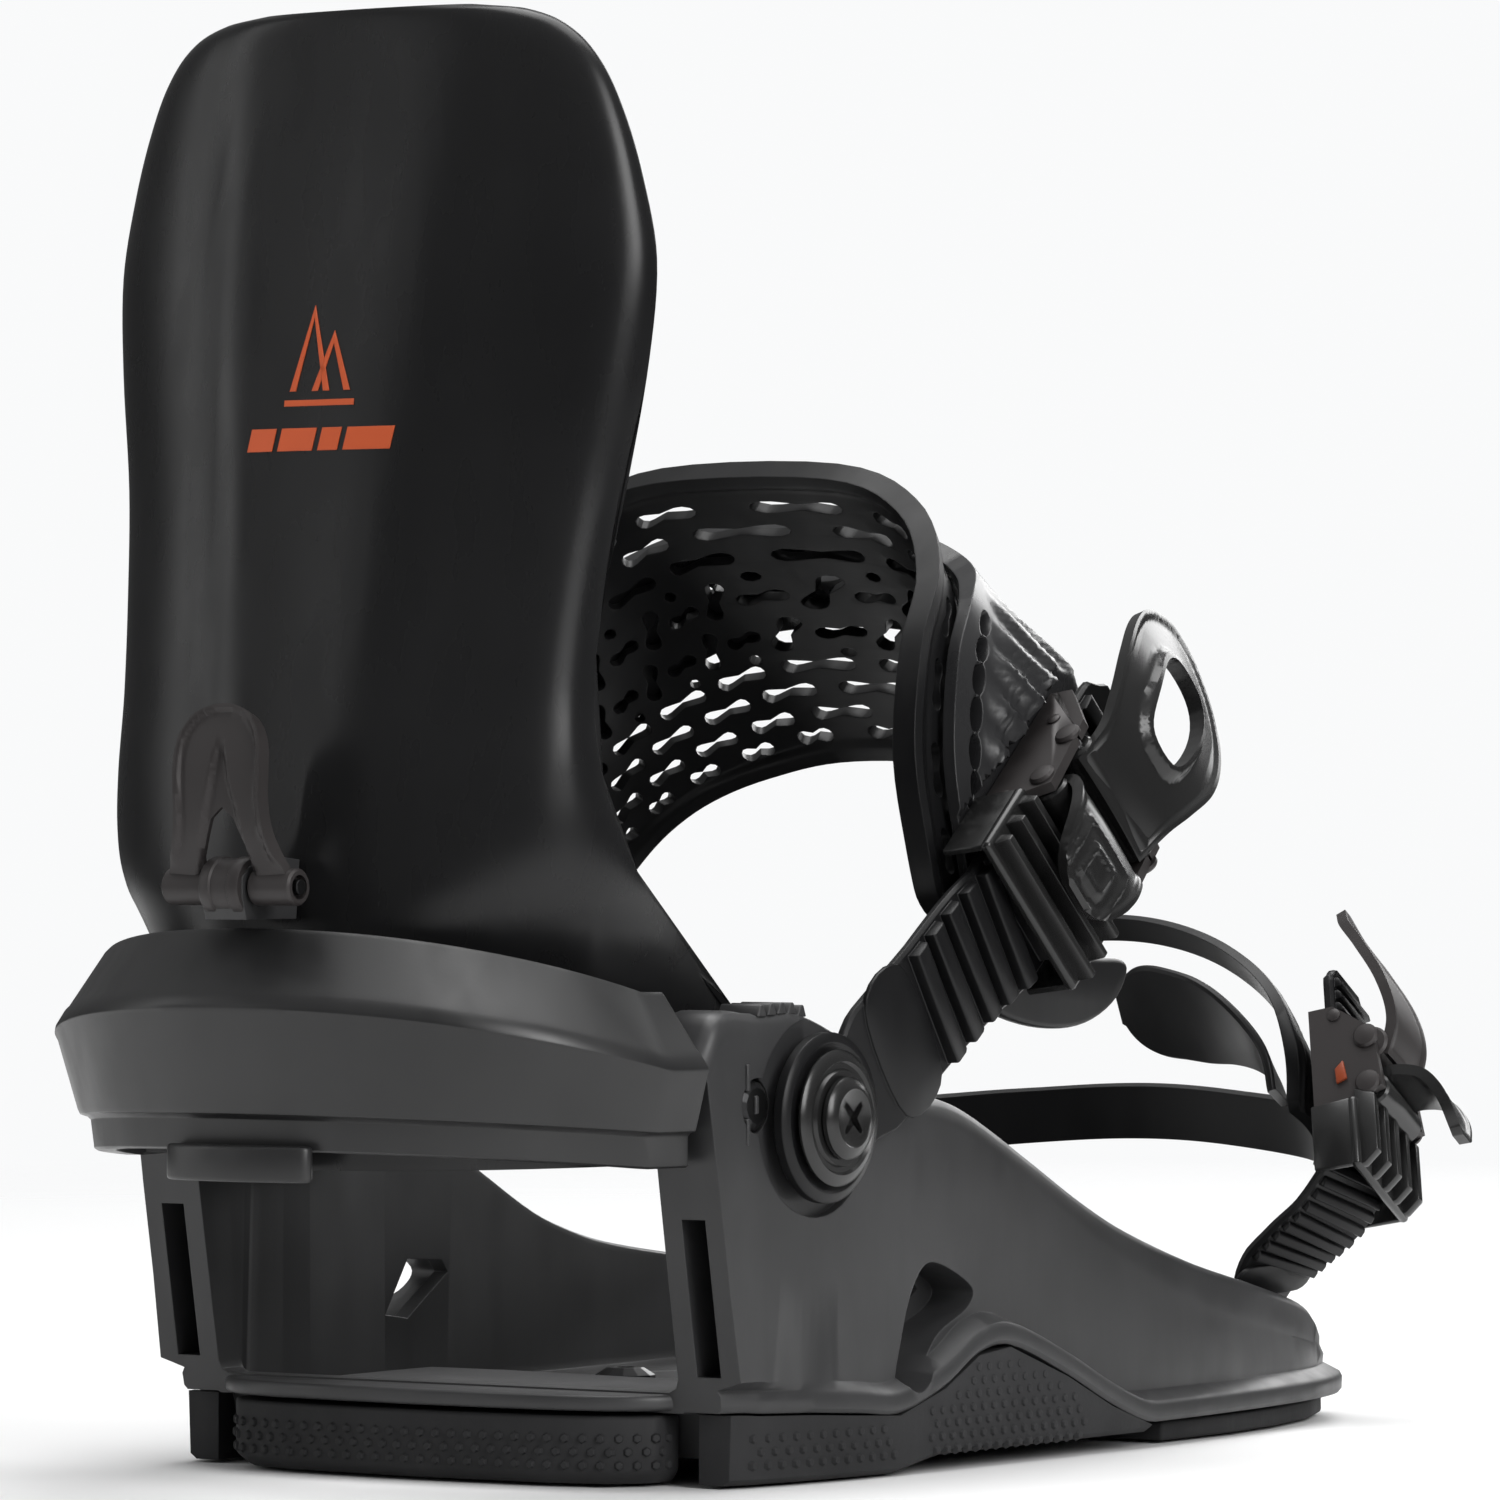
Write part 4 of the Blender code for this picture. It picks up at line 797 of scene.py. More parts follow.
class StrapSurface:
    """The curved face that a strap's layers follow, read by shares of its length and width."""

    def __init__(self, edges: Sequence[tuple[Sequence[float], Sequence[float]]], bulge: float) -> None:
        """Takes the edge points from the right end to the middle, and how far the middle of the width bulges.

        Args:
            edges: Points on the rear and the front edge.
            bulge: The rise of the middle.
        """
        right = [Vector(a) for a, _ in edges]
        front = [Vector(b) for _, b in edges]
        flip = Matrix.Diagonal((-1, 1, 1))
        self.rear = catmull(right + [flip @ p for p in reversed(right)], 10)
        self.front = catmull(front + [flip @ p for p in reversed(front)], 10)
        self.bulge = bulge
        points = self.rear + self.front
        hub = Vector((0, sum(p.y for p in points) / len(points), 40))
        self.outward = []
        for i in range(len(self.rear)):
            after, before = min(i + 1, len(self.rear) - 1), max(i - 1, 0)
            ahead = self.rear[after] + self.front[after] - self.rear[before] - self.front[before]
            out = ahead.cross(self.front[i] - self.rear[i]).normalized()
            self.outward.append(-out if out.dot((self.rear[i] + self.front[i]) / 2 - hub) < 0 else out)
        mids = [(a + b) / 2 for a, b in zip(self.rear, self.front)]
        self.length = sum((b - a).length for a, b in zip(mids, mids[1:]))
        self.width = sum((b - a).length for a, b in zip(self.rear, self.front)) / len(mids)

    def at(self, s: float, t: float, lift: float = 0.0) -> Vector:
        """The point at a share of the length and of the width, lifted off the face.

        Args:
            s: Share of the length, from the right end.
            t: Share of the width, from the rear edge.
            lift: How far outward.

        Returns:
            The point.
        """
        place = max(0.0, min(1.0, s)) * (len(self.rear) - 1)
        i = min(int(place), len(self.rear) - 2)
        share = place - i
        rear = self.rear[i].lerp(self.rear[i + 1], share)
        front = self.front[i].lerp(self.front[i + 1], share)
        out = self.outward[i].lerp(self.outward[i + 1], share).normalized()
        return rear.lerp(front, t) + out * (self.bulge * math.sin(math.pi * t) + lift)


@dataclass
class PiercedLayer:
    """A layer of a strap: a flat cut pattern with holes, bent over the strap's surface and given its thickness."""

    surface: "StrapSurface | SeatedSurface | FormedLeaf"
    outline: Sequence[Point]
    holes: Sequence[Sequence[Point]]
    low: Height
    high: Height
    step: float = 3.0

    def flat(self) -> Mesh:
        """The pattern, lying flat, cut into cells small enough to bend.

        Returns:
            The flat mesh, in millimetres along and across the strap.
        """
        curve = bpy.data.curves.new("pattern", "CURVE")
        curve.dimensions, curve.fill_mode = "2D", "BOTH"
        for shape in (self.outline, *self.holes):
            spline = curve.splines.new("POLY")
            spline.points.add(len(shape) - 1)
            for point, (u, v) in zip(spline.points, shape):
                point.co = (u, v, 0, 1)
            spline.use_cyclic_u = True
        obj = linked("pattern", curve)
        mesh = evaluated_mesh(obj)
        work = bmesh.new()
        work.from_mesh(mesh)
        bpy.data.objects.remove(obj)
        bpy.data.curves.remove(curve)
        bpy.data.meshes.remove(mesh)
        bmesh.ops.remove_doubles(work, verts=work.verts, dist=0.001)
        spans = [(min(p[axis] for p in self.outline), max(p[axis] for p in self.outline)) for axis in (0, 1)]
        for axis, (start, end) in enumerate(spans):
            normal = Vector((1, 0, 0)) if axis == 0 else Vector((0, 1, 0))
            count = max(2, round((end - start) / self.step))
            for k in range(1, count):
                bmesh.ops.bisect_plane(work, geom=[*work.verts, *work.edges, *work.faces], dist=0.02,
                                       plane_co=normal * (start + (end - start) * k / count), plane_no=normal)
        return work

    def built(self) -> Mesh:
        """Gives the pattern its thickness and bends it.

        Returns:
            The closed mesh.
        """
        work = self.flat()
        made = bmesh.ops.extrude_face_region(work, geom=work.faces[:])
        for item in made["geom"]:
            if isinstance(item, bmesh.types.BMVert):
                item.co.z = 1.0
        for vert in work.verts:
            s, t, top = vert.co.x / self.surface.length, vert.co.y / self.surface.width, vert.co.z > 0.5
            vert.co = self.surface.at(s, t, (self.high if top else self.low)(s, t))
        bmesh.ops.recalc_face_normals(work, faces=work.faces)
        return work


@dataclass
class AnklePad:
    """The perforated pad of the ankle strap: rows of slots at both edges, crossing slots and dots between them."""

    low: float = -2.6
    high: float = 2.0
    rim: float = 2.4
    corner: float = 7.0
    margin: float = 13.0
    slot_pitch: float = 13.4
    edges: Sequence[tuple[Sequence[float], Sequence[float]]] = (
        ((57.2, -34.0, 98.0), (57.2, 14.0, 88.0)), ((56.6, -37.5, 110.0), (55.6, 22.0, 98.0)),
        ((54.6, -39.0, 128.0), (51.6, 26.5, 107.0)), ((51.6, -32.0, 147.0), (44.0, 28.0, 114.5)),
        ((47.8, -20.5, 161.0), (34.0, 30.0, 120.5)), ((38.0, -12.0, 173.0), (22.0, 33.5, 125.0)),
        ((20.0, -10.0, 180.0), (9.0, 37.0, 128.0)),
    )

    def surface(self) -> StrapSurface:
        """The surface that the pad and its frame follow."""
        return StrapSurface(self.edges, 2.0)

    def slots(self, length: float, width: float) -> list[list[Point]]:
        """All of the pad's holes.

        Args:
            length: The flat strap's length.
            width: Its width.

        Returns:
            Their outlines, on the flat strap.
        """
        found = []
        count = round((length - 2 * self.margin) / self.slot_pitch)
        pitch = (length - 2 * self.margin) / count
        rows = ((0.125, 0.0, 8.6), (0.21, 0.5, 9.4), (0.30, 0.0, 9.8), (0.685, 0.5, 10.2), (0.765, 0.0, 10.2),
                (0.845, 0.5, 9.6), (0.915, 0.0, 7.4))
        for t, shift, reach in rows:
            for k in range(count):
                u = self.margin + (k + 0.5 + shift * 0.98 - 0.25) * pitch
                found.append(bone(u, t * width, reach, 1.5, 3.0, 0.0))
        for k in range(count):
            u = self.margin + (k + 0.5) * pitch
            found.append(bone(u - 1.6, 0.435 * width, 8.6, 1.5, 3.0, 62.0))
            found.append(bone(u + 5.0, 0.575 * width, 8.2, 1.5, 3.0, 62.0))
            found.append(bone(u + 5.2, 0.445 * width, 6.6, 1.4, 2.6, 8.0))
            found.append(bone(u - 1.8, 0.575 * width, 6.4, 1.4, 2.6, 8.0))
            found.append(disc_outline(u + 4.8, 0.37 * width, 1.15, 8))
            found.append(disc_outline(u - 1.6, 0.645 * width, 1.15 if k % 2 else 1.0, 8))
        return found

    def build(self) -> bpy.types.Object:
        """Builds the pad.

        Returns:
            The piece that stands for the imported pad.
        """
        face = self.surface()
        length, width, corner = face.length, face.width, self.corner
        outline = []
        for cx, cy, start in ((length - corner, width - corner, 0), (corner, width - corner, 90),
                              (corner, corner, 180), (length - corner, corner, 270)):
            for k in range(7):
                angle = math.radians(start + 15 * k)
                outline.append((cx + corner * math.cos(angle), cy + corner * math.sin(angle)))

        def thick(s: float, t: float) -> float:
            """The rim stands thicker than the pierced middle."""
            near = min(t * width, (1 - t) * width, s * length, (1 - s) * length)
            return 1.0 - 0.55 * eased(self.rim, self.rim + 2.2, near)

        layer = PiercedLayer(face, outline, self.slots(length, width),
                             lambda s, t: self.low * (0.35 + 0.65 * thick(s, t)),
                             lambda s, t: self.high * thick(s, t))
        return piece("ankle_pad_shell", layer.built(), STRAP, "ankle_strap", "ankle_pad")


# ---- baseplate and heel loop


def rounded(outline: Sequence[Point], samples: int = 5) -> list[Point]:
    """A smooth closed outline through points.

    Args:
        outline: What the curve passes through.
        samples: How many points each span gets.

    Returns:
        The curve's points.
    """
    points = [Vector((*p, 0)) for p in outline]
    ends = [points[-1], *points, points[0], points[1]]
    found = []
    for i in range(1, len(points) + 1):
        a, b, c, d = ends[i - 1 : i + 3]
        for k in range(samples):
            t = k / samples
            p = 0.5 * (b * 2 + (c - a) * t + (a * 2 - b * 5 + c * 4 - d) * t * t + (b * 3 - a - c * 3 + d) * t**3)
            found.append((p.x, p.y))
    return found


def side_block(outline: Sequence[Point], near: float, far: float, side: int) -> Mesh:
    """An outline in y and z pushed outward along x from near to far, on one side."""
    turn = Matrix(((0, 0, side, 0), (1, 0, 0, 0), (0, 1, 0, 0), (0, 0, 0, 1)))
    return block(outline, near, far, turn)


@dataclass
class Chassis:
    """The baseplate: a floor between two side walls that rise to the strap bolts."""

    steps: int = 88
    corner_count: int = 21
    seat: float = 42.8
    wall_inner: float = 50.5
    # y at the foot and at the crest, underside, crest, outer foot, outer crest, inner crest, the left crest's drop
    stations: Sequence[Sequence[float]] = (
        (-103.5, -114.5, 12.7, 75.0, 58.6, 62.6, 50.5, 0.0), (-101.5, -109.0, 12.7, 82.0, 59.6, 62.6, 50.5, 0.0),
        (-98.0, -97.0, 12.6, 82.0, 61.0, 62.6, 50.5, 0.0), (-96.0, -93.0, 12.4, 82.0, 61.8, 62.7, 50.5, 0.0),
        (-84.0, -84.0, 12.0, 82.0, 64.4, 63.0, 50.5, 0.0), (-70.0, -70.0, 11.2, 77.5, 66.4, 63.0, 50.5, 2.0),
        (-59.0, -59.0, 10.6, 72.0, 67.0, 63.0, 50.5, 5.0), (-45.0, -45.0, 14.6, 67.0, 67.4, 62.6, 50.6, 8.0),
        (-34.0, -34.0, 20.0, 65.0, 67.6, 62.2, 50.8, 10.0), (-24.0, -24.0, 21.0, 61.5, 67.8, 62.0, 51.0, 11.0),
        (-5.0, -5.0, 14.6, 53.0, 68.2, 61.8, 51.4, 11.5), (10.0, 10.0, 8.4, 45.8, 68.3, 62.2, 52.0, 9.0),
        (24.0, 24.0, 4.2, 40.0, 68.2, 62.8, 53.0, 6.0), (50.0, 50.0, 4.2, 32.6, 67.0, 62.4, 54.0, 2.0),
        (80.0, 80.0, 4.2, 26.6, 64.0, 59.6, 52.0, 0.0), (101.0, 101.0, 4.2, 22.4, 60.0, 55.6, 47.0, 0.0),
        (117.0, 117.0, 4.2, 17.8, 54.0, 49.0, 40.0, 0.0), (125.0, 125.0, 4.2, 14.6, 47.0, 42.0, 33.0, 0.0),
        (129.0, 129.0, 4.2, 11.6, 40.0, 36.0, 27.0, 0.0),
    )

    def section(self, y_foot: float, left: bool) -> list[Vector]:
        """Half of the section at a foot's y, from the floor's underside round to its top, as if on the right.

        Args:
            y_foot: Where the section meets the board.
            left: Whether it has the left wall's lower crest.

        Returns:
            The section's corners.
        """
        y_crest, under, crest, foot, outer, inner, drop = read_row(self.stations, y_foot)
        crest -= drop if left else 0.0
        share = max(0.0, min(1.0, (y_foot + 98.0) / 2.0))
        low, top = 12.4 - 8.4 * share, 16.0 - 6.0 * share
        top -= max(0.0, (y_foot - 117.0) / 15.0)
        under = max(under, low + 0.2)
        step = min(inner + 1.5, foot - 8)
        high = crest - under
        flare = eased(-20.0, 60.0, y_foot)
        belly = 0.5 if crest > 30 else 0.2
        corners = [
            (step - 24.0, low), (step, low), (step + 0.4, under), (foot - 0.5, under), (foot + 0.2, under + 0.8),
            (foot + 0.3, under + 3.0), (foot - 0.3, under + 4.0), (outer + 0.9, under + 5.6),
            (outer + belly + 0.9 * flare, under + 0.34 * high), (outer + belly, under + 0.6 * high),
            (outer + 0.2, crest - 5.0 - 3.0 * flare), (outer - 0.3, crest - 2.0), (outer - 1.4, crest - 0.5),
            (outer - 3.0, crest), (inner + 1.6, crest), (inner + 0.4, crest - 0.5), (inner, crest - 1.8),
            (inner - 0.2, top + 2.4), (inner - 0.8, top + 0.8), (inner - 2.4, top), (step - 24.0, top),
        ]
        if high < 16.0:
            corners[8:11] = [(x, under + 5.6 + (high - 7.0) * k / 4) for k, (x, _) in enumerate(corners[8:11], 1)]
        rise = max(high, 1.0)
        return [Vector((x, y_foot + (y_crest - y_foot) * (z - under) / rise, z)) for x, z in corners]

    def around(self, u: float, v: float) -> Vector:
        """A point of the plate: u goes round its section and v from heel to toe.

        Args:
            u: Share round the section.
            v: Share of the length.

        Returns:
            The point.
        """
        rows = self.stations
        place = v * (len(rows) - 1)
        i = min(int(place), len(rows) - 2)
        y_foot = rows[i][0] + (rows[i + 1][0] - rows[i][0]) * (place - i)
        right, left = self.section(y_foot, False), self.section(y_foot, True)
        k = round(u * len(right) * 2) % (len(right) * 2)
        if k < len(right):
            return right[k]
        point = left[2 * len(right) - 1 - k]
        return Vector((-point.x, point.y, point.z))

    def tools(self) -> list[Mesh]:
        """What is cut from the plate: the disc's seat, the slots, pockets, holes and bores.

        Returns:
            The cutting meshes, in order of use.
        """
        up = Matrix.Identity(4)
        seat = self.seat
        found = [spun([(0, -1), (seat - 6, -1), (seat - 6, 5.2), (seat, 7.2), (seat, 14), (0, 14)], up, 72)]
        pocket = rounded([(-56.5, 15.5), (-54.0, 23.5), (-50.6, 31.0), (-45.5, 36.2), (-38.5, 35.6), (-29.5, 31.4),
                          (-31.5, 27.8), (-41.0, 24.0), (-47.0, 18.8), (-52.4, 14.2)])
        peep = [(-54.0, 24.0), (-47.0, 34.0), (-36.0, 33.4), (-34.0, 31.0), (-40.0, 27.4), (-47.0, 23.0)]
        for side in (1, -1):
            bore = axis_frame((0, *STRAP_BOLT), (side, 0, 0))
            found += [
                side_block([(-130.0, 19.0), (-85.0, 19.0), (-92.0, 46.5), (-132.0, 46.5)], 54.4, 59.4, side),
                side_block(pocket, self.wall_inner + 3.4, 75.0, side),
                side_block(peep, 40.0, 76.0, side),
                spun([(0, 46), (STRAP_BORE, 46), (STRAP_BORE, 70), (0, 70)], bore, 28),
                spun([(0, 61.9), (17.4, 61.9), (18.2, 70), (0, 70)], bore, 40),
                spun([(0, 46), (2.9, 46), *LOOP_SEAT], axis_frame((0, *LOOP_SCREW), (side, 0, 0)), 20),
                spun([(0, 30), (2.8, 30), (2.8, 53.6), (0, 53.6)], axis_frame((0, *TOE_BOLT), (side, 0, 0)), 20),
                side_block([(90.0, 9.6), (116.0, 9.6), (118.0, 40.0), (88.0, 40.0)], 38.4, 46.2, side),
            ]
        return found

    def plate(self) -> bpy.types.Object:
        """Builds the plate.

        Returns:
            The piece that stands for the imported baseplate.
        """
        work = closed_up(sheet_of(2 * self.corner_count, self.steps, self.around))
        bow = [(49.5, -98.0), (49.0, -103.0), (47.6, -106.0), (45.0, -109.0), (41.0, -111.8), (36.0, -113.6),
               (30.0, -115.0), (15.0, -116.2), (0.0, -116.6)]
        bow += [(-x, y) for x, y in reversed(bow[:-1])]
        lip = softened(block(bow, 12.9, 15.7), 0.9, 40.0, 3)
        work = carved(work, lip, "UNION")
        for tool in self.tools():
            work = carved(work, tool)
        return piece("baseplate_shell", work, CHASSIS, "base", "baseplate")

    def studs(self) -> bpy.types.Object:
        """Adds the small teeth on the arms' tops and the lean marks beside the bolts.

        Returns:
            The piece that holds them all.
        """
        parts = []
        for side in (1, -1):
            for k in range(5):
                y = -95.0 + 3.1 * k
                row = read_row(self.stations, y)
                low = row[2] - (row[6] if side < 0 else 0.0) - 0.6
                tooth = [(y - 1.5, low), (y + 1.4, low), (y + 0.5, low + 2.1), (y - 0.5, low + 2.1)]
                parts.append(side_block(tooth, 53.0, 61.6, side))
            for y, z, half in ((-101.6, 71.0, 2.3), (-101.6, 61.5, 2.3), (-99.0, 66.2, 1.6)):
                mark = [(y - 0.5, z - half), (y + 0.5, z - half), (y + 0.5, z + half), (y - 0.5, z + half)]
                parts.append(side_block(mark, 61.0, 63.3, side))
        return piece("baseplate_teeth", softened(joined(parts), 0.2, 50.0, 1), CHASSIS, "base")

    def build(self) -> list[bpy.types.Object]:
        """Builds the baseplate's pieces."""
        return [self.plate(), self.studs()]


@dataclass
class HeelLoop:
    """The hoop behind the heel, creased along its upper edge and stepped in along its lower one."""

    reach: float = 65.5
    depth: float = 62.0
    centre_y: float = -108.0
    power: float = 2.25
    wall: float = 11.0
    front: float = -64.0
    steps: int = 72
    start: float = 0.075
    tongue: tuple[float, float] = (46.3, 50.1)

    def corners(self, share: float) -> list[Point]:
        """The section's corners, each as how far it lies inside the outermost line, and its height.

        Args:
            share: Share of the way round, from the right.

        Returns:
            The corners.
        """
        rise = max(0.0, math.sin(math.pi * share)) ** 0.9
        top, low = 82.0 + 15.0 * rise, 54.5 + 4.5 * rise
        return [
            (self.wall, low + 0.6), (self.wall - 0.6, low), (7.4, low), (6.8, low + 0.4), (6.2, low + 5.4),
            (5.6, low + 6.0), (4.4, low + 6.4), (4.0, low + 7.2), (0.5, top - 14.2), (0.1, top - 13.5),
            (0.2, top - 12.8), (1.5, top - 10.6), (2.2, top - 9.9), (8.2, top - 0.6), (8.8, top),
            (self.wall - 0.8, top), (self.wall - 0.1, top - 0.8),
        ]

    def at(self, inward: float, z: float, share: float) -> Vector:
        """A point of the hoop behind the walls.

        Args:
            inward: How far inside the outermost line.
            z: Height over the board.
            share: Share of the way round.

        Returns:
            The point.
        """
        angle = math.pi * share
        c, s = math.cos(angle), max(0.0, math.sin(angle))
        x = (self.reach - inward) * math.copysign(abs(c) ** (2 / self.power), c)
        return Vector((x, self.centre_y - (self.depth - inward) * s ** (2 / self.power), z))

    def shoulder(self, side: int, step: int) -> list[Vector]:
        """One of the three rings that carry the hoop in between the walls; step 0 is the front.

        Args:
            side: 1 on the right, -1 on the left.
            step: The ring's place, 0 to 2.

        Returns:
            The ring's points.
        """
        corners = self.corners(self.start)
        tongue_in, tongue_out = self.tongue
        ring = []
        for k, (inward, z) in enumerate(corners):
            inner = k == 0 or k >= len(corners) - 2
            if step < 2:
                x = tongue_in if inner else tongue_out
                z = min(z, 79.5)
                y = self.front if step == 0 else -104.5 - (z - 12.7) * 0.1766 - 1.4
            else:
                x = tongue_in if inner else 65.4 - inward * 0.95
                y = -104.5 - (z - 12.7) * 0.1766 - 1.8
            ring.append(Vector((side * x, y, z)))
        return ring

    def rings(self) -> list[list[Vector]]:
        """All of the rings, from the right tongue's front round to the left's.

        Returns:
            The rings' points.
        """
        low, high = self.start, 1.0 - self.start
        found = [self.shoulder(1, k) for k in range(3)]
        for k in range(self.steps + 1):
            share = low + (high - low) * k / self.steps
            found.append([self.at(inward, z, share) for inward, z in self.corners(share)])
        return found + [self.shoulder(-1, k) for k in (2, 1, 0)]

    def build(self) -> list[bpy.types.Object]:
        """Builds the hoop and the oval plug under it.

        Returns:
            The two pieces.
        """
        rings = self.rings()
        count, along = len(rings[0]), len(rings) - 1
        work = closed_up(sheet_of(count, along, lambda u, v: rings[round(v * along)][round(u * count) % count].copy()))
        for side in (1, -1):
            bolt, screw = (axis_frame((0, *place), (side, 0, 0)) for place in (STRAP_BOLT, LOOP_SCREW))
            work = carved(work, spun([(0, 40), (STRAP_BORE, 40), (STRAP_BORE, 70), (0, 70)], bolt, 28))
            work = carved(work, spun([(0, 40), (2.9, 40), *LOOP_SEAT], screw, 20))
        hoop = piece("heel_loop_shell", work, LOOP, "base", "heel_loop")
        plug = rounded([(-13.0, -166.0), (0.0, -168.0), (13.0, -166.0), (15.0, -163.0), (10.0, -160.6), (0.0, -160.0),
                        (-10.0, -160.6), (-15.0, -163.0)])
        oval = softened(block(plug, 53.8, 60.0), 0.7, 40.0, 3)
        return [hoop, piece("heel_loop_plug", oval, LOOP, "base")]


# ---- carried straps


@dataclass(frozen=True)
class BuckleFrame:
    """A buckle's own frame: x up the strap, y across it, z outward, the ladder's inner face at z = 0."""

    origin: Triple
    run: Triple
    face: Triple

    @property
    def matrix(self) -> Matrix:
        """The frame as a matrix.

        Returns:
            The matrix.
        """
        run = Vector(self.run).normalized()
        across = Vector(self.face).cross(run).normalized()
        turn = Matrix((run, across, run.cross(across))).transposed().to_4x4()
        return Matrix.Translation(Vector(self.origin)) @ turn

    def at(self, x: float, y: float, z: float) -> Vector:
        """A point of the frame, in the row frame."""
        return self.matrix @ Vector((x, y, z))

    def side(self) -> Matrix:
        """A frame for outlines in x and z that are pushed across the buckle."""
        return self.matrix @ ACROSS


ANKLE_BUCKLE = BuckleFrame((64.8, -6.0, 113.5), (-0.04, 0.78, 0.62), (0.985, -0.03, 0.17))
TOE_BUCKLE = BuckleFrame((57.4, 112.0, 62.0), (-0.30, 0.40, 0.87), (0.93, 0.25, 0.25))


@dataclass
class Ribbon:
    """A band with rounded edges that follows a path, turning from one outward direction to the next."""

    path: Sequence[Vector]
    # share of the path, and the outward direction there
    keys: Sequence[tuple[float, Sequence[float]]]
    width: Callable[[float], float]
    thickness: float
    lift: float = 0.0

    def __post_init__(self) -> None:
        """Measures the path."""
        self.marks = [0.0]
        for a, b in zip(self.path, self.path[1:]):
            self.marks.append(self.marks[-1] + (b - a).length)

    @property
    def total(self) -> float:
        """The path's length."""
        return self.marks[-1]

    def frame(self, distance: float) -> Matrix:
        """The frame at a distance: x along the path, y across the band, z outward.

        Args:
            distance: How far along the path.

        Returns:
            The frame's matrix.
        """
        i = next((k for k in range(len(self.marks) - 2) if distance <= self.marks[k + 1]), len(self.marks) - 2)
        share = (distance - self.marks[i]) / (self.marks[i + 1] - self.marks[i])
        ahead = self.path[min(i + 2, len(self.path) - 1)] - self.path[i]
        behind = self.path[i + 1] - self.path[max(i - 1, 0)]
        along = behind.lerp(ahead, share).normalized()
        place, out = distance / self.total, Vector(self.keys[-1][1])
        for (a, first), (b, second) in zip(self.keys, self.keys[1:]):
            if place <= b:
                out = Vector(first).lerp(Vector(second), (place - a) / (b - a))
                break
        across = out.cross(along).normalized()
        turn = Matrix((along, across, along.cross(across))).transposed().to_4x4()
        return Matrix.Translation(self.path[i].lerp(self.path[i + 1], share)) @ turn

    def band(self, steps: int = 60, corner: float = 0.6) -> Mesh:
        """Builds the plain band.

        Args:
            steps: Sections along it.
            corner: How far its edges are rounded.

        Returns:
            The closed mesh.
        """
        def place(u: float, v: float) -> Vector:
            """A point of the band's skin."""
            half, thick, c = self.width(v) / 2, self.thickness, corner
            ring = ((-half + c, 0), (half - c, 0), (half, c), (half, thick - c), (half - c, thick), (0, thick),
                    (-half + c, thick), (-half, thick - c), (-half, c))
            y, z = ring[round(u * 9) % 9]
            return self.frame(v * self.total) @ Vector((0, y, z + self.lift))

        return closed_up(sheet_of(9, steps, place))


@dataclass
class Ladder:
    """A toothed strap: its round lug, a plain part, then a tooth at each pitch."""

    name: str
    body: str
    knots: Sequence[Triple]
    buckle: BuckleFrame
    lead: float
    tail: float
    keys: Sequence[tuple[float, Sequence[float]]]
    width: float
    start: float
    pitch: float
    tooth: float
    lug: Triple
    lug_radius: float
    bore: float
    thickness: float = 2.6

    def build(self) -> bpy.types.Object:
        """Builds the strap.

        Returns:
            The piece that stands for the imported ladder.
        """
        entry, leave = self.buckle.at(-self.lead, 0, 0.4), self.buckle.at(self.tail, 0, 0.4)
        path = catmull([*map(Vector, self.knots), entry], 8) + [entry.lerp(leave, k / 6) for k in range(1, 7)]

        def width(share: float) -> float:
            """The strap narrows a little at its lug and at its tip."""
            return self.width * (0.8 + 0.2 * eased(0.0, 0.08, share) - 0.3 * eased(0.96, 1.0, share))

        ribbon = Ribbon(path, self.keys, width, self.thickness - 0.5)
        parts = []
        count = int((ribbon.total - self.start) / self.pitch)
        half = self.width / 2 - 1.1
        low, high = self.thickness - 1.0, self.thickness + self.tooth - 0.1
        run = self.pitch
        section = [(0.06 * run, low), (0.10 * run, high - 0.15), (0.18 * run, high), (0.62 * run, high - 0.25),
                   (0.80 * run, high - 0.75), (0.84 * run, low)]
        for k in range(count):
            matrix = ribbon.frame(self.start + (k + 0.05) * run)
            parts.append(softened(block(section, -half, half, matrix @ ACROSS), 0.22, 50.0, 2))
        border = ribbon.frame(self.start * 0.62)
        back, front = -self.start * 0.2, self.start * 0.3
        plate = rounded([(back, -half), (front, -half), (front, half), (back, half)], 6)
        parts.append(softened(block(plate, low, self.thickness, border), 0.3, 40.0, 2))
        frame = axis_frame(self.lug, (1, 0, 0))
        r, t = self.lug_radius, self.thickness
        lug = spun([(self.bore, 0), (r - 0.5, 0), (r, 0.5), (r, t - 0.5), (r - 0.6, t + 0.1), (r - 1.8, t + 0.3),
                    (r - 2.4, t - 0.1), (self.bore, t - 0.1), (self.bore, 0)], frame, 56)
        band = carved(ribbon.band(), spun([(0, -3), (self.bore, -3), (self.bore, 6), (0, 6)], frame, 40))
        parts += [band, lug]
        return piece(f"{self.name}_strap", joined(parts), STRAP, self.body, self.name)


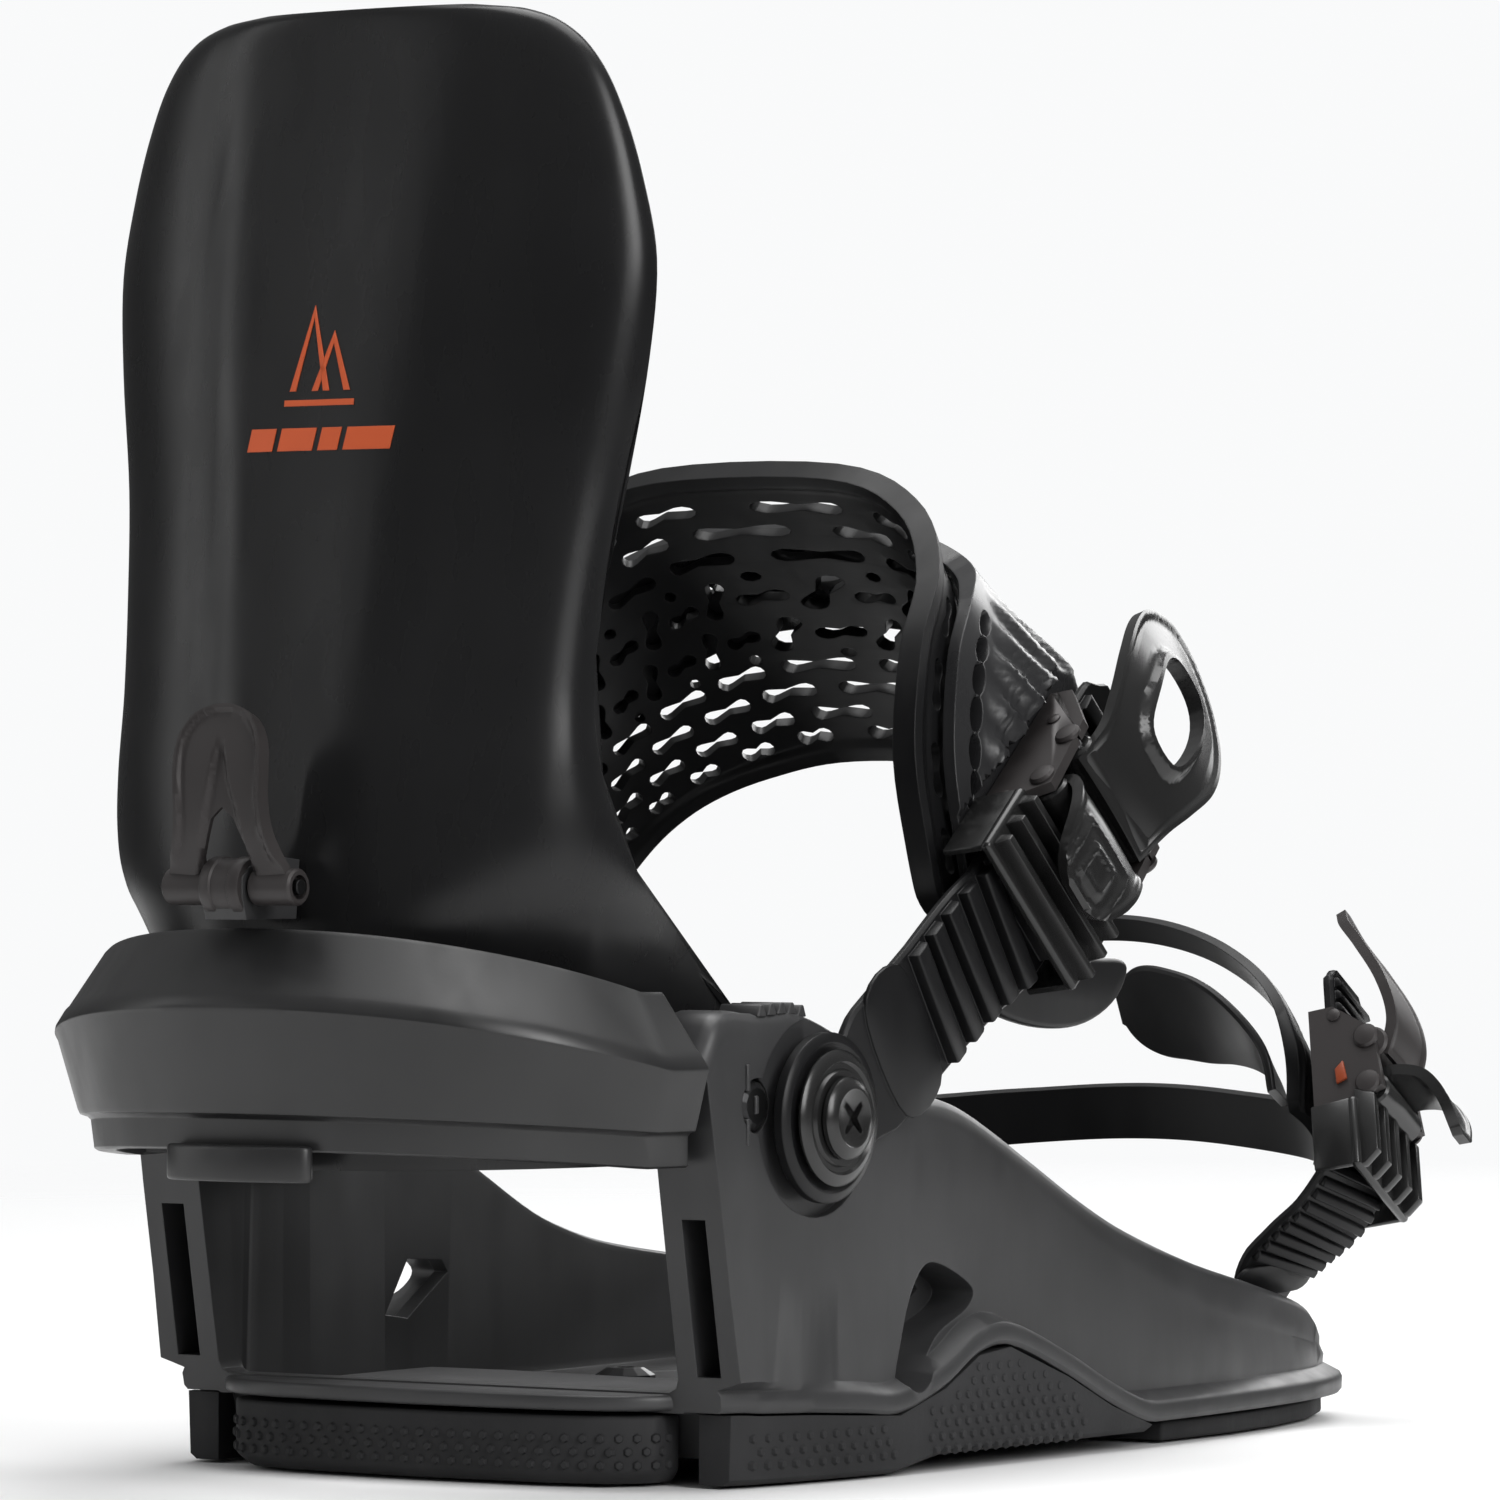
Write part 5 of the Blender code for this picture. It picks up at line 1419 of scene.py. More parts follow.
@dataclass
class FormedLeaf:
    """A formed leaf in a buckle's frame, read like a strap's surface with shares in millimetres."""

    frame: BuckleFrame
    profile: Sequence[Station]
    crown: float = 0.0
    face: float = 1.0
    # 1, so that a layer's shares of these two are millimetres
    length: float = 1.0
    width: float = 1.0

    def at(self, s: float, t: float, lift: float = 0.0) -> Vector:
        """The point at s along and t across, lifted off the face.

        Args:
            s: Distance along the leaf.
            t: Distance across it.
            lift: How far off its face.

        Returns:
            The point.
        """
        x, z = read_row(self.profile, s)
        after = read_row(self.profile, s + 0.05 * (self.profile[-1][0] - self.profile[0][0]) / 4)
        run = Vector((after[0] - x, after[1] - z))
        if run.length < 1e-6:
            before = read_row(self.profile, s - 0.2)
            run = Vector((x - before[0], z - before[1]))
        run.normalize()
        out = Vector((-run.y, run.x)) * self.face
        rise = lift + self.crown * (1 - min(1.0, abs(t) / 14.0) ** 2)
        return self.frame.at(x + out.x * rise, t, z + out.y * rise)


def ring_distance(shape: Sequence[Point], u: float, v: float) -> float:
    """How far a point lies from a closed outline.

    Args:
        shape: The outline.
        u: The point's place along.
        v: Its place across.

    Returns:
        The least distance.
    """
    best = 1e9
    for (x0, y0), (x1, y1) in zip(shape, [*shape[1:], shape[0]]):
        dx, dy = x1 - x0, y1 - y0
        share = max(0.0, min(1.0, ((u - x0) * dx + (v - y0) * dy) / (dx * dx + dy * dy + 1e-12)))
        best = min(best, math.hypot(u - x0 - share * dx, v - y0 - share * dy))
    return best


@dataclass
class SeatedSurface:
    """A strap's surface that dips under a buckle, so that the bracket has its seat."""

    face: StrapSurface
    buckle: BuckleFrame
    reach: float
    half: float
    seat: float = -2.5

    def __post_init__(self) -> None:
        """Takes over the face's sizes."""
        self.length, self.width = self.face.length, self.face.width
        self.inverse = self.buckle.matrix.inverted()

    def at(self, s: float, t: float, lift: float = 0.0) -> Vector:
        """The face's point, pushed in under the bracket where it would stand proud of its seat.

        Args:
            s: Share of the length.
            t: Share of the width.
            lift: How far outward.

        Returns:
            The point.
        """
        local = self.inverse @ self.face.at(s, t, lift)
        if abs(local.x) < self.reach and abs(local.y) < self.half and -14.0 < local.z:
            local.z = min(local.z, self.seat if lift > 2.5 else self.seat - 0.9)
        return self.buckle.matrix @ local


@dataclass
class AnkleFrame:
    """The frame outside the ankle pad: windows along the pad's rim, ribs on its swelling flank, and its left arm."""

    thickness: float = 2.4
    swell: float = 7.0
    buckle_swell: float = 6.0
    low: float = 2.4
    step: float = 1.05
    rib: float = 1.3
    rib_pitch: float = 6.4

    def skin(self, face: StrapSurface) -> Mesh:
        """The bent layer with its windows and ribs.

        Args:
            face: The surface that it follows.

        Returns:
            The closed mesh.
        """
        length, width = face.length, face.width
        rows = ((0.042, 0.13, 0.72), (0.10, 0.125, 0.75), (0.22, 0.125, 0.75), (0.30, 0.14, 0.70), (0.38, 0.24, 0.62),
                (0.62, 0.24, 0.62), (0.70, 0.20, 0.68), (0.80, 0.16, 0.74), (0.958, 0.16, 0.74))
        outline = []
        for column in (1, 2):
            edge = [(s * length, row[column] * width) for s in (0.042 + 0.916 * k / 60 for k in range(61))
                    for row in [(s / length, *read_row(rows, s))]]
            outline += edge if column == 1 else edge[::-1]
        windows = ((8, 0.075, 0.029, 0.19, 3.1, 14, 0.42), (9, 0.40, 0.025, 0.43, 2.6, 12, 0.5))
        holes = [disc_outline((first + pitch * k) * length, t * width, radius, sides, squash)
                 for count, first, pitch, t, radius, sides, squash in windows for k in range(count)]

        def high(s: float, t: float) -> float:
            """The outer face: it swells at the sides, with diagonal ribs on the slope."""
            along = abs(2 * s - 1)
            near = max(0.0, 1 - abs(along - 0.52) / 0.36)
            lift = (self.swell + (self.buckle_swell if s < 0.5 else 0.0)) * (0.55 * near + 0.45 * near**0.5)
            slope = max(0.0, min(1.0, 1.6 * (t - 0.125) / 0.625))
            wave = 0.5 + 0.5 * math.sin(math.tau * (s * length * 0.92 + t * width * 0.55) / self.rib_pitch)
            shown = eased(0.20, 0.27, t) * (1 - eased(0.50, 0.58, t)) * eased(0.3, 0.42, along)
            return self.low + self.thickness + lift * slope + self.rib * eased(0.15, 0.85, wave) * shown

        seated = SeatedSurface(face, ANKLE_BUCKLE, 32.0, 18.2)
        return PiercedLayer(seated, outline, holes, lambda s, t: self.low, high, self.step).built()

    def arm(self) -> Mesh:
        """The left arm down to its lug.

        Returns:
            The arm with its lug and ribs.
        """
        knots = [(-62.4, -4.0, 108.0), (-63.6, -34.0, 97.0), (-64.4, -52.0, 82.0), (-64.3, -70.0, 68.0)]
        path = catmull([Vector(p) for p in knots], 6)
        left, bore = (-1, 0, 0), STRAP_BORE
        band = Ribbon(path, ((0.0, left), (1.0, left)), lambda share: 24.0 - 3.0 * eased(0.6, 1.0, share), 2.8)
        frame = axis_frame((-64.1, *STRAP_BOLT), left)
        lug = spun([(bore, 0), (14.5, 0), (15.0, 0.5), (15.0, 2.4), (14.4, 2.8), (13.2, 2.9), (12.6, 2.6),
                    (bore, 2.6), (bore, 0)], frame, 48)
        parts = [carved(band.band(30), spun([(0, -3), (bore, -3), (bore, 6), (0, 6)], frame, 40)), lug]
        rib = [(-1.4, 2.4), (1.4, 2.4), (1.0, 3.4), (-1.0, 3.4)]
        for k in range(7):
            matrix = band.frame(6.0 + 5.0 * k) @ ACROSS
            parts.append(softened(block(rib, -9.0, 9.0, matrix), 0.2, 50, 1))
        return joined(parts)

    def build(self) -> bpy.types.Object:
        """Builds the frame.

        Returns:
            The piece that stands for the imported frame.
        """
        skin = self.skin(AnklePad().surface())
        return piece("ankle_frame_skin", joined([skin, self.arm()]), CARRIER, "ankle_strap", "ankle_frame")


@dataclass
class Buckle:
    """The dressed parts of one ratchet buckle."""

    prefix: str
    frame: BuckleFrame
    body: str
    half: float
    hood: tuple[float, float, float, float]
    ribs: int
    rib_height: float
    drive: Sequence[Station]
    drive_finish: Finish
    drive_hole: Sequence[Point]
    release: Sequence[Station]
    drive_axis: Point
    release_axis: Point
    grid: float = 0.9
    tab: bool = False
    lengthways: bool = False
    hub: float = 3.4

    def outward(self, x: float, y: float, z: float, side: int) -> Matrix:
        """A frame at a place in the buckle whose z points out along the buckle's y, on one side.

        Args:
            x: Place along the buckle.
            y: Place across it.
            z: Height over the ladder.
            side: 1 or -1.

        Returns:
            The frame's matrix.
        """
        turn = Matrix.Rotation(math.radians(-90 * side), 4, "X")
        return self.frame.matrix @ Matrix.Translation((x, y, z)) @ turn

    def rod(self, x: float, z: float, radius: float, half: float) -> Mesh:
        """A rounded rod across the buckle.

        Args:
            x: Place along the buckle.
            z: Height over the ladder.
            radius: Its radius.
            half: Half its length.

        Returns:
            The closed mesh.
        """
        e = min(0.5, radius * 0.3)
        return spun([(0, -half), (radius - e, -half), (radius, -half + e), (radius, half - e),
                     (radius - e, half), (0, half)], self.outward(x, 0, z, 1), 28)

    def leaf(self, name: str, stations: Sequence[Station], hole: Sequence[Point], axis: Point, face: float,
             finish: Finish, thick: float, crown: float) -> bpy.types.Object:
        """A lever: a formed leaf on its hub, with a raised edge and a rim round its hole.

        Args:
            name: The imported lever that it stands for.
            stations: The leaf's line and half width, as (x, z, half width).
            hole: The hole's outline, or nothing.
            axis: The pin's x and z.
            face: 1 where the leaf's face looks outward, else -1.
            finish: What it is made of.
            thick: The leaf's thickness.
            crown: How far its middle stands proud.

        Returns:
            The piece.
        """
        outline = leaf_outline(stations)
        surface = FormedLeaf(self.frame, leaf_rows(stations), crown, face)

        def high(s: float, t: float) -> float:
            """A raised edge, and a rim round the hole or the release lever's nested squares."""
            lift = 0.55 * (1 - eased(0.9, 2.0, ring_distance(outline, s, t)))
            if hole:
                lift += 1.5 * (1 - eased(1.0, 2.6, ring_distance(hole, s, t)))
            elif self.prefix == "ankle":
                square = max(abs(s - 15.0), abs(t) * 0.9)
                for inner, outer in ((5.4, 6.5), (2.0, 3.1)):
                    lift += 0.5 * (eased(inner, inner + 0.4, square) - eased(outer, outer + 0.4, square))
            return thick + lift

        work = PiercedLayer(surface, outline, [hole] if hole else [], lambda s, t: 0.0, high, self.grid).built()
        hub = self.rod(*axis, self.hub, self.half - 0.5)
        return piece(f"{name}_leaf", joined([work, hub]), finish, name, name)

    def cover(self) -> bpy.types.Object:
        """The ribbed hood over the ladder's way in.

        Returns:
            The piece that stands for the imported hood.
        """
        start, end, low, high = self.hood
        outer = self.half + 4.0
        lid = [(start, -outer), (end, -outer), (end, outer), (start, outer)]
        parts = [softened(block(lid, low, high, self.frame.matrix), 0.9, 40.0, 3)]
        pitch = (end - start) / self.ribs
        for k in range(self.ribs if self.lengthways else 0):
            y = outer * (2 * k + 1 - self.ribs) / (self.ribs - 0.2)
            ridge = [(start + 0.4, high - 0.8), (end + 2.0, high - 0.8), (end + 0.2, high + self.rib_height),
                     (start + 3.0, high + self.rib_height), (start + 0.6, high + 0.6)]
            parts.append(softened(block(ridge, y - 1.1, y + 1.1, self.frame.side()), 0.3, 40.0, 2))
        for k in range(0 if self.lengthways else self.ribs):
            x = start + (k + 0.5) * pitch
            w = 0.27 * pitch
            rib = [(x - w, high - 0.8), (x + w, high - 0.8), (x + 0.3 * w, high + self.rib_height),
                   (x - 0.7 * w, high + self.rib_height)]
            parts.append(softened(block(rib, -outer + 1.0, outer - 1.0, self.frame.side()), 0.25, 40.0, 2))
        for side in (1, -1):
            near, far = sorted((side * (self.half + 2.4), side * (outer - 0.2)))
            flank = [(start + 0.6, -2.2), (end - 0.6, -2.2), (end - 0.3, low + 0.8), (start + 0.3, low + 0.8)]
            parts.append(softened(block(flank, near, far, self.frame.side()), 0.4, 40.0, 2))
        hood = f"{self.prefix}_buckle_hood"
        return piece(f"{self.prefix}_hood_cover", joined(parts), GLOSS, self.body, hood)

    def trims(self) -> bpy.types.Object:
        """Rivet heads on the bracket's cheeks, with the tab where there is one.

        Returns:
            The piece that holds the rivet heads.
        """
        parts = []
        outer = self.half + 2.0
        for side in (1, -1):
            for x, z in (self.drive_axis, self.release_axis):
                parts.append(spun([(0, -0.2), (2.5, -0.2), (2.5, 0.4), (2.1, 0.9), (1.2, 1.1), (0, 1.15)],
                                  self.outward(x, side * outer, z, side), 24))
            for x, z, r in ((self.drive_axis[0] + 6.0, 3.2, 1.3), (self.release_axis[0] - 4.0, 2.6, 1.1)):
                parts.append(spun([(0, -0.2), (r, -0.2), (r, 0.3), (r * 0.6, 0.55), (0, 0.6)],
                                  self.outward(x, side * outer, z, side), 18))
        if self.tab:
            tab = [(-4.2, 3.0), (-1.0, 2.8), (0.6, 4.6), (-3.4, 5.2)]
            patch = softened(block(tab, outer, outer + 0.8, self.frame.side()), 0.25, 40.0, 2)
            piece(f"{self.prefix}_bracket_tab", patch, AMBER, self.body)
        return piece(f"{self.prefix}_bracket_rivets", joined(parts), ALLOY, self.body)

    def build(self) -> list[bpy.types.Object]:
        """Builds the buckle's dressed parts.

        Returns:
            The pieces.
        """
        made = [
            self.leaf(f"{self.prefix}_ratchet_lever", self.drive, self.drive_hole, self.drive_axis, 1.0,
                      self.drive_finish, 1.5, 0.8),
            self.leaf(f"{self.prefix}_release_lever", self.release, [], self.release_axis, -1.0, GLOSS, 1.6, 0.6),
            self.cover(),
            self.trims(),
        ]
        bracket = f"{self.prefix}_buckle_bracket"
        made.append(piece(f"{self.prefix}_bracket_skin", node_mesh(bracket), ALLOY, self.body, bracket))
        return made


def leaf_rows(points: Sequence[Station]) -> list[Station]:
    """Turns (x, z, half width) stations into (distance, x, z) rows along the leaf.

    Args:
        points: The stations.

    Returns:
        The rows.
    """
    rows, distance = [], 0.0
    for i, (x, z, _) in enumerate(points):
        if i:
            distance += math.hypot(x - points[i - 1][0], z - points[i - 1][1])
        rows.append((distance, x, z))
    return rows


def leaf_outline(points: Sequence[Station], steps: int = 48) -> list[Point]:
    """A leaf's outline from (x, z, half width) stations, smooth between them.

    Args:
        points: The stations.
        steps: How many steps each side has.

    Returns:
        The outline, along and across the leaf.
    """
    rows = [(d, w) for (d, _, _), (_, _, w) in zip(leaf_rows(points), points)]
    places = [rows[-1][0] * k / steps for k in range(steps + 1)]
    right = [(u, read_row(rows, u)[0]) for u in places]
    return right + [(u, -v) for u, v in reversed(right)]


# each lever's x, z and half width in its buckle's frame
ANKLE_DRIVE = ((4.0, 9.4, 12.2), (12.0, 11.8, 12.6), (19.0, 12.4, 14.6), (29.0, 11.6, 17.2), (39.0, 8.8, 16.8),
               (47.0, 5.6, 13.0), (52.6, 2.8, 6.0), (54.0, 2.0, 2.0))
ANKLE_RELEASE = ((-3.4, 9.8, 12.2), (-3.8, 12.4, 12.2), (-6.4, 14.4, 11.8), (-12.0, 15.7, 11.0), (-18.0, 15.4, 9.0),
                 (-21.0, 14.6, 6.0), (-22.0, 14.2, 3.0))
TOE_DRIVE = ((3.0, 10.0, 8.4), (10.0, 12.2, 8.8), (18.0, 10.8, 9.4), (27.0, 6.6, 8.6), (34.0, 2.6, 5.4),
             (38.6, 0.8, 1.6))
TOE_RELEASE = ((-3.0, 9.8, 8.2), (-3.0, 14.0, 8.2), (-4.6, 18.0, 7.8), (-9.0, 20.6, 6.6), (-14.0, 21.6, 3.6),
               (-15.0, 21.6, 2.0))


def ankle_buckle() -> Buckle:
    """The ankle strap's buckle.

    Returns:
        The buckle, ready to build.
    """
    hole = rounded([(16.5, -3.6), (16.5, 3.6), (21.5, 6.6), (33.0, 7.4), (38.4, 4.0), (38.4, -4.0), (33.0, -7.4),
                    (21.5, -6.6)], 4)
    return Buckle("ankle", ANKLE_BUCKLE, "ankle_strap", half=13.25, hood=(-27.0, -10.0, 6.4, 8.6), ribs=3,
                  rib_height=3.6, drive=ANKLE_DRIVE, drive_finish=GLOSS, drive_hole=hole, release=ANKLE_RELEASE,
                  drive_axis=(7.0, 9.2), release_axis=(-5.0, 9.2))


def toe_buckle() -> Buckle:
    """The toe strap's buckle.

    Returns:
        The buckle, ready to build.
    """
    return Buckle("toe", TOE_BUCKLE, "toe_strap", half=10.0, hood=(-23.0, -8.0, 5.2, 7.2), ribs=5, rib_height=3.4,
                  drive=TOE_DRIVE, drive_finish=ALLOY, drive_hole=[], release=TOE_RELEASE, drive_axis=(5.0, 9.4),
                  release_axis=(-5.0, 9.2), tab=True, lengthways=True)


def ankle_ladder() -> Ladder:
    """The ankle strap's ladder.

    Returns:
        The ladder, ready to build.
    """
    out = tuple(ANKLE_BUCKLE.matrix.col[2][:3])
    knots = ((64.4, -73.0, 66.5), (64.5, -66.0, 71.5), (65.2, -53.0, 80.5), (65.8, -38.0, 90.5))
    keys = ((0.0, (1, 0, 0)), (0.25, (1, 0, 0)), (0.55, out), (1.0, out))
    return Ladder("ankle_ladder", "ankle_ladder", knots, ANKLE_BUCKLE, lead=29.0, tail=32.0, keys=keys, width=25.5,
                  start=26.0, pitch=6.3, tooth=1.9, lug=(64.1, *STRAP_BOLT), lug_radius=15.0, bore=STRAP_BORE)


def toe_ladder() -> Ladder:
    """The toe strap's ladder.

    Returns:
        The ladder, ready to build.
    """
    out = tuple(TOE_BUCKLE.matrix.col[2][:3])
    knots = ((42.6, 104.0, 21.0), (45.6, 103.0, 28.0), (52.0, 103.0, 34.0), (58.6, 103.6, 39.6))
    keys = ((0.0, (1, 0, 0)), (0.15, (0.9, -0.3, -0.35)), (0.35, (0.82, -0.35, -0.45)), (0.5, (0.86, -0.2, -0.15)),
            (0.66, out), (1.0, out))
    return Ladder("toe_ladder", "toe_ladder", knots, TOE_BUCKLE, lead=17.8, tail=24.0, keys=keys, width=19.0,
                  start=11.0, pitch=2.7, tooth=1.0, lug=(42.4, *TOE_BOLT), lug_radius=7.0, bore=3.0)


# ---- toe strap, tongues and trims


@dataclass
class ToeCap:
    """The toe strap: a thin band over the toes and a broader one in front of them, with its left arm."""

    bulge: float = 3.0
    thickness: float = 2.6
    low: float = -1.8
    edges: Sequence[tuple[Sequence[float], Sequence[float]]] = (
        ((51.0, 104.0, 59.0), (51.6, 113.0, 48.0)), ((49.6, 105.5, 72.0), (50.6, 120.0, 47.5)),
        ((42.0, 110.5, 83.5), (42.0, 127.5, 49.0)), ((27.0, 116.0, 92.0), (25.0, 133.0, 50.5)),
        ((9.0, 119.0, 96.5), (8.0, 136.0, 51.5)),
    )
    window: Sequence[Point] = (
        (0.13, 0.42), (0.17, 0.20), (0.30, 0.13), (0.50, 0.12), (0.70, 0.13), (0.83, 0.20), (0.87, 0.42), (0.82, 0.66),
        (0.68, 0.75), (0.50, 0.77), (0.32, 0.75), (0.18, 0.66),
    )

    def cap(self) -> Mesh:
        """The bent cap, with its window and the fine lines at its ends.

        Returns:
            The closed mesh.
        """
        face = SeatedSurface(StrapSurface(self.edges, self.bulge), TOE_BUCKLE, 20.0, 13.6)
        length, width = face.length, face.width
        outline = [(0.5, 2.0), (2.5, 0.5), (length - 2.5, 0.5), (length - 0.5, 2.0), (length - 0.5, width - 2.0),
                   (length - 2.5, width - 0.5), (2.5, width - 0.5), (0.5, width - 2.0)]
        window = rounded([(s * length, t * width) for s, t in self.window], 6)

        def high(s: float, t: float) -> float:
            """A soft edge, and lines along the strap near its ends."""
            near = min(ring_distance(window, s * length, t * width), min(t, 1 - t) * width)
            lines = 0.5 + 0.5 * math.sin(math.tau * t * width / 2.6)
            end = 1 - eased(0.10, 0.16, min(s, 1 - s))
            return self.low + self.thickness - 0.7 * (1 - eased(0.0, 1.4, near)) + 0.45 * lines * end

        return PiercedLayer(face, outline, [window], lambda s, t: self.low, high, 1.5).built()

    def arm(self) -> Mesh:
        """The left arm down to its bolt.

        Returns:
            The arm with its lug.
        """
        knots = ((-51.6, 110.0, 57.0), (-52.6, 108.4, 50.0), (-53.2, 106.2, 44.0), (-50.6, 104.4, 36.5),
                 (-45.6, 103.0, 28.0), (-42.6, 104.0, 20.0))
        left = (-1, 0, 0)
        band = Ribbon(catmull([Vector(p) for p in knots], 6), ((0.0, left), (1.0, left)),
                      lambda share: 17.0 - 4.0 * share, 2.8).band(36)
        frame = axis_frame((-42.4, *TOE_BOLT), left)
        lug = spun([(3.0, 0), (6.6, 0), (7.0, 0.4), (7.0, 2.6), (6.6, 2.9), (3.0, 2.9), (3.0, 0)], frame, 36)
        return joined([carved(band, spun([(0, -3), (3.0, -3), (3.0, 6), (0, 6)], frame, 32)), lug])

    def build(self) -> bpy.types.Object:
        """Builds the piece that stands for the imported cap."""
        return piece("toe_cap_shell", joined([self.cap(), self.arm()]), STRAP, "toe_strap", "toe_cap_strap")


def tongues() -> list[bpy.types.Object]:
    """Builds the soft tongues under both buckles.

    Returns:
        The two pieces.
    """
    flap = rounded([(-32.0, 95.0), (-28.0, 87.0), (-16.0, 80.4), (0.0, 77.4), (14.0, 78.0), (25.0, 82.6), (28.0, 89.0),
                    (17.0, 90.0), (-4.0, 91.0), (-20.0, 95.0)], 5)
    under = softened(side_block(flap, 57.2, 60.2, 1), 1.0, 40.0, 3)
    made = [piece("ankle_tongue_flap", under, STRAP, "ankle_strap", "ankle_tongue")]
    knots = ((43.4, 109.6, 61.0), (39.6, 110.6, 68.4), (30.0, 111.6, 74.0), (18.0, 113.0, 76.8), (5.0, 114.2, 77.8))
    keys = ((0.0, (0.9, 0.35, 0.25)), (0.5, (0.5, 0.7, 0.45)), (1.0, (0.1, 0.88, 0.45)))

    def width(share: float) -> float:
        """A paddle: it widens from its root to a round end."""
        return (13.0 + 8.0 * eased(0.1, 0.6, share)) * max(0.12, 1 - max(0.0, (share - 0.72) / 0.28) ** 2.6) ** 0.5

    paddle = Ribbon(catmull([Vector(p) for p in knots], 10), keys, width, 1.8).band(60, 0.5)
    made.append(piece("toe_tongue_paddle", paddle, STRAP, "toe_strap", "toe_tongue"))
    return made


@dataclass
class LeanLever:
    """The flip lever low on the highback: a rimmed spoon with a deep V, on a split barrel with hollow ends."""

    axis: Triple = (0.0, -165.0, 104.2)
    radius: float = 3.2
    knuckle: float = 4.8
    half: float = 13.8
    # height over the axis, half width, how far the leaf's middle lies behind the axis
    rows: Sequence[Station] = (
        (0.6, 12.8, 1.0), (3.0, 12.4, 1.5), (6.0, 11.0, 2.2), (10.0, 9.7, 3.1), (15.0, 9.2, 3.6), (20.0, 9.3, 3.6),
        (24.5, 8.8, 3.0), (27.6, 7.0, 2.2), (29.4, 4.4, 1.5), (30.2, 1.6, 1.2),
    )
    vee: float = 25.0

    def leaf(self) -> Mesh:
        """The spoon with its fork, its rim and its V.

        Returns:
            The closed mesh.
        """
        frame = BuckleFrame(self.axis, (0, 0, 1), (0, -1, 0))
        stations = [(height, back - 1.1, half) for height, half, back in self.rows]
        surface = FormedLeaf(frame, leaf_rows(stations), 0.5, 1.0)
        spoon = leaf_outline(stations)
        fork = [(0.0, -5.2), (4.8, -5.2), (11.5, -2.4), (13.4, 0.0), (11.5, 2.4), (4.8, 5.2), (0.0, 5.2)]

        def high(s: float, t: float) -> float:
            """A rim along the edge, and the V that runs up from the fork."""
            rim = 1 - eased(0.7, 1.5, ring_distance(spoon, s, t))
            side = 6.6 * (1 - s / self.vee)
            groove = eased(-0.4, 0.5, side - abs(t)) if s < self.vee else 0.0
            return 1.9 + 0.9 * rim * eased(3.0, 6.0, s) - 1.0 * groove

        return PiercedLayer(surface, spoon + fork, [], lambda s, t: 0.0, high, 0.7).built()

    def build(self) -> bpy.types.Object:
        """Builds the lever.

        Returns:
            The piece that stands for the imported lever.
        """
        parts = [self.leaf()]
        r, k, h = self.radius, self.knuckle, self.half
        for side in (1, -1):
            parts.append(spun([(0, k), (r - 0.3, k), (r, k + 0.3), (r, h - 0.4), (r - 0.4, h), (2.1, h), (2.1, h - 1.5),
                               (0, h - 1.5)], axis_frame(self.axis, (side, 0, 0)), 32))
        return piece("lean_lever_spoon", joined(parts), ALLOY, "lean_lever", "lean_lever")


def lean_block(front: float = -154.0, gap: float = 0.7) -> bpy.types.Object:
    """Builds the sliding block, eased off the highback's skin, with the clamp round the lever's barrel.

    Args:
        front: What lies past this y is eased back.
        gap: How far.

    Returns:
        The block.
    """
    work = node_mesh("lean_block")
    for vert in work.verts:
        if vert.co.y > front:
            vert.co.y -= gap
    clamp = spun([(3.0, -4.2), (4.9, -4.2), (5.2, -3.8), (5.2, -2.0), (4.9, -1.7), (4.9, 1.7), (5.2, 2.0), (5.2, 3.8),
                  (4.9, 4.2), (3.0, 4.2), (3.0, -4.2)], axis_frame(LeanLever().axis, (1, 0, 0)), 40)
    piece("lean_block_clamp", clamp, ALLOY, body_of("lean_block"))
    return piece("lean_block_skin", work, CHASSIS, body_of("lean_block"), "lean_block")


@dataclass
class Pivot:
    """A strap bolt with its stepped washer."""

    side: int
    label: str
    rise: float = 67.3
    radius: float = 12.0

    def build(self) -> list[bpy.types.Object]:
        """Builds the washer and the bolt.

        Returns:
            The two pieces.
        """
        frame = axis_frame((0.0, *STRAP_BOLT), (self.side, 0, 0))
        r, x, bore = self.radius, self.rise, STRAP_BORE
        washer = spun([(bore, x), (r - 0.5, x), (r, x + 0.5), (r, x + 0.9), (r - 0.6, x + 1.5), (r - 2.0, x + 1.8),
                       (r - 2.5, x + 1.3), (r - 3.3, x + 1.3), (r - 3.7, x + 1.9), (bore, x + 1.9), (bore, x)],
                      frame, 64)
        head = spun([(0, 37.0), (3.2, 37.0), (3.2, x + 2.0), (6.9, x + 2.0), (7.3, x + 2.4), (7.3, x + 3.2),
                     (6.7, x + 3.9), (5.2, x + 4.3), (4.8, x + 4.0), (0, x + 4.0)], frame, 48)
        arm = rounded([(-3.4, -0.5), (-1.2, -0.75), (0.0, -1.1), (1.2, -0.75), (3.4, -0.5), (3.4, 0.5), (1.2, 0.75),
                       (0.0, 1.1), (-1.2, 0.75), (-3.4, 0.5)], 2)
        for turn in (45, 135):
            head = carved(head, block(arm, x + 2.6, x + 7.0, frame @ Matrix.Rotation(math.radians(turn), 4, "Z")))
        nodes = (f"pivot_washer_{self.label}", f"pivot_bolt_{self.label}")
        return [piece(f"{nodes[0]}_rings", washer, GLOSS, body_of(nodes[0]), nodes[0]),
                piece(f"{nodes[1]}_head", head, GLOSS, body_of(nodes[1]), nodes[1])]


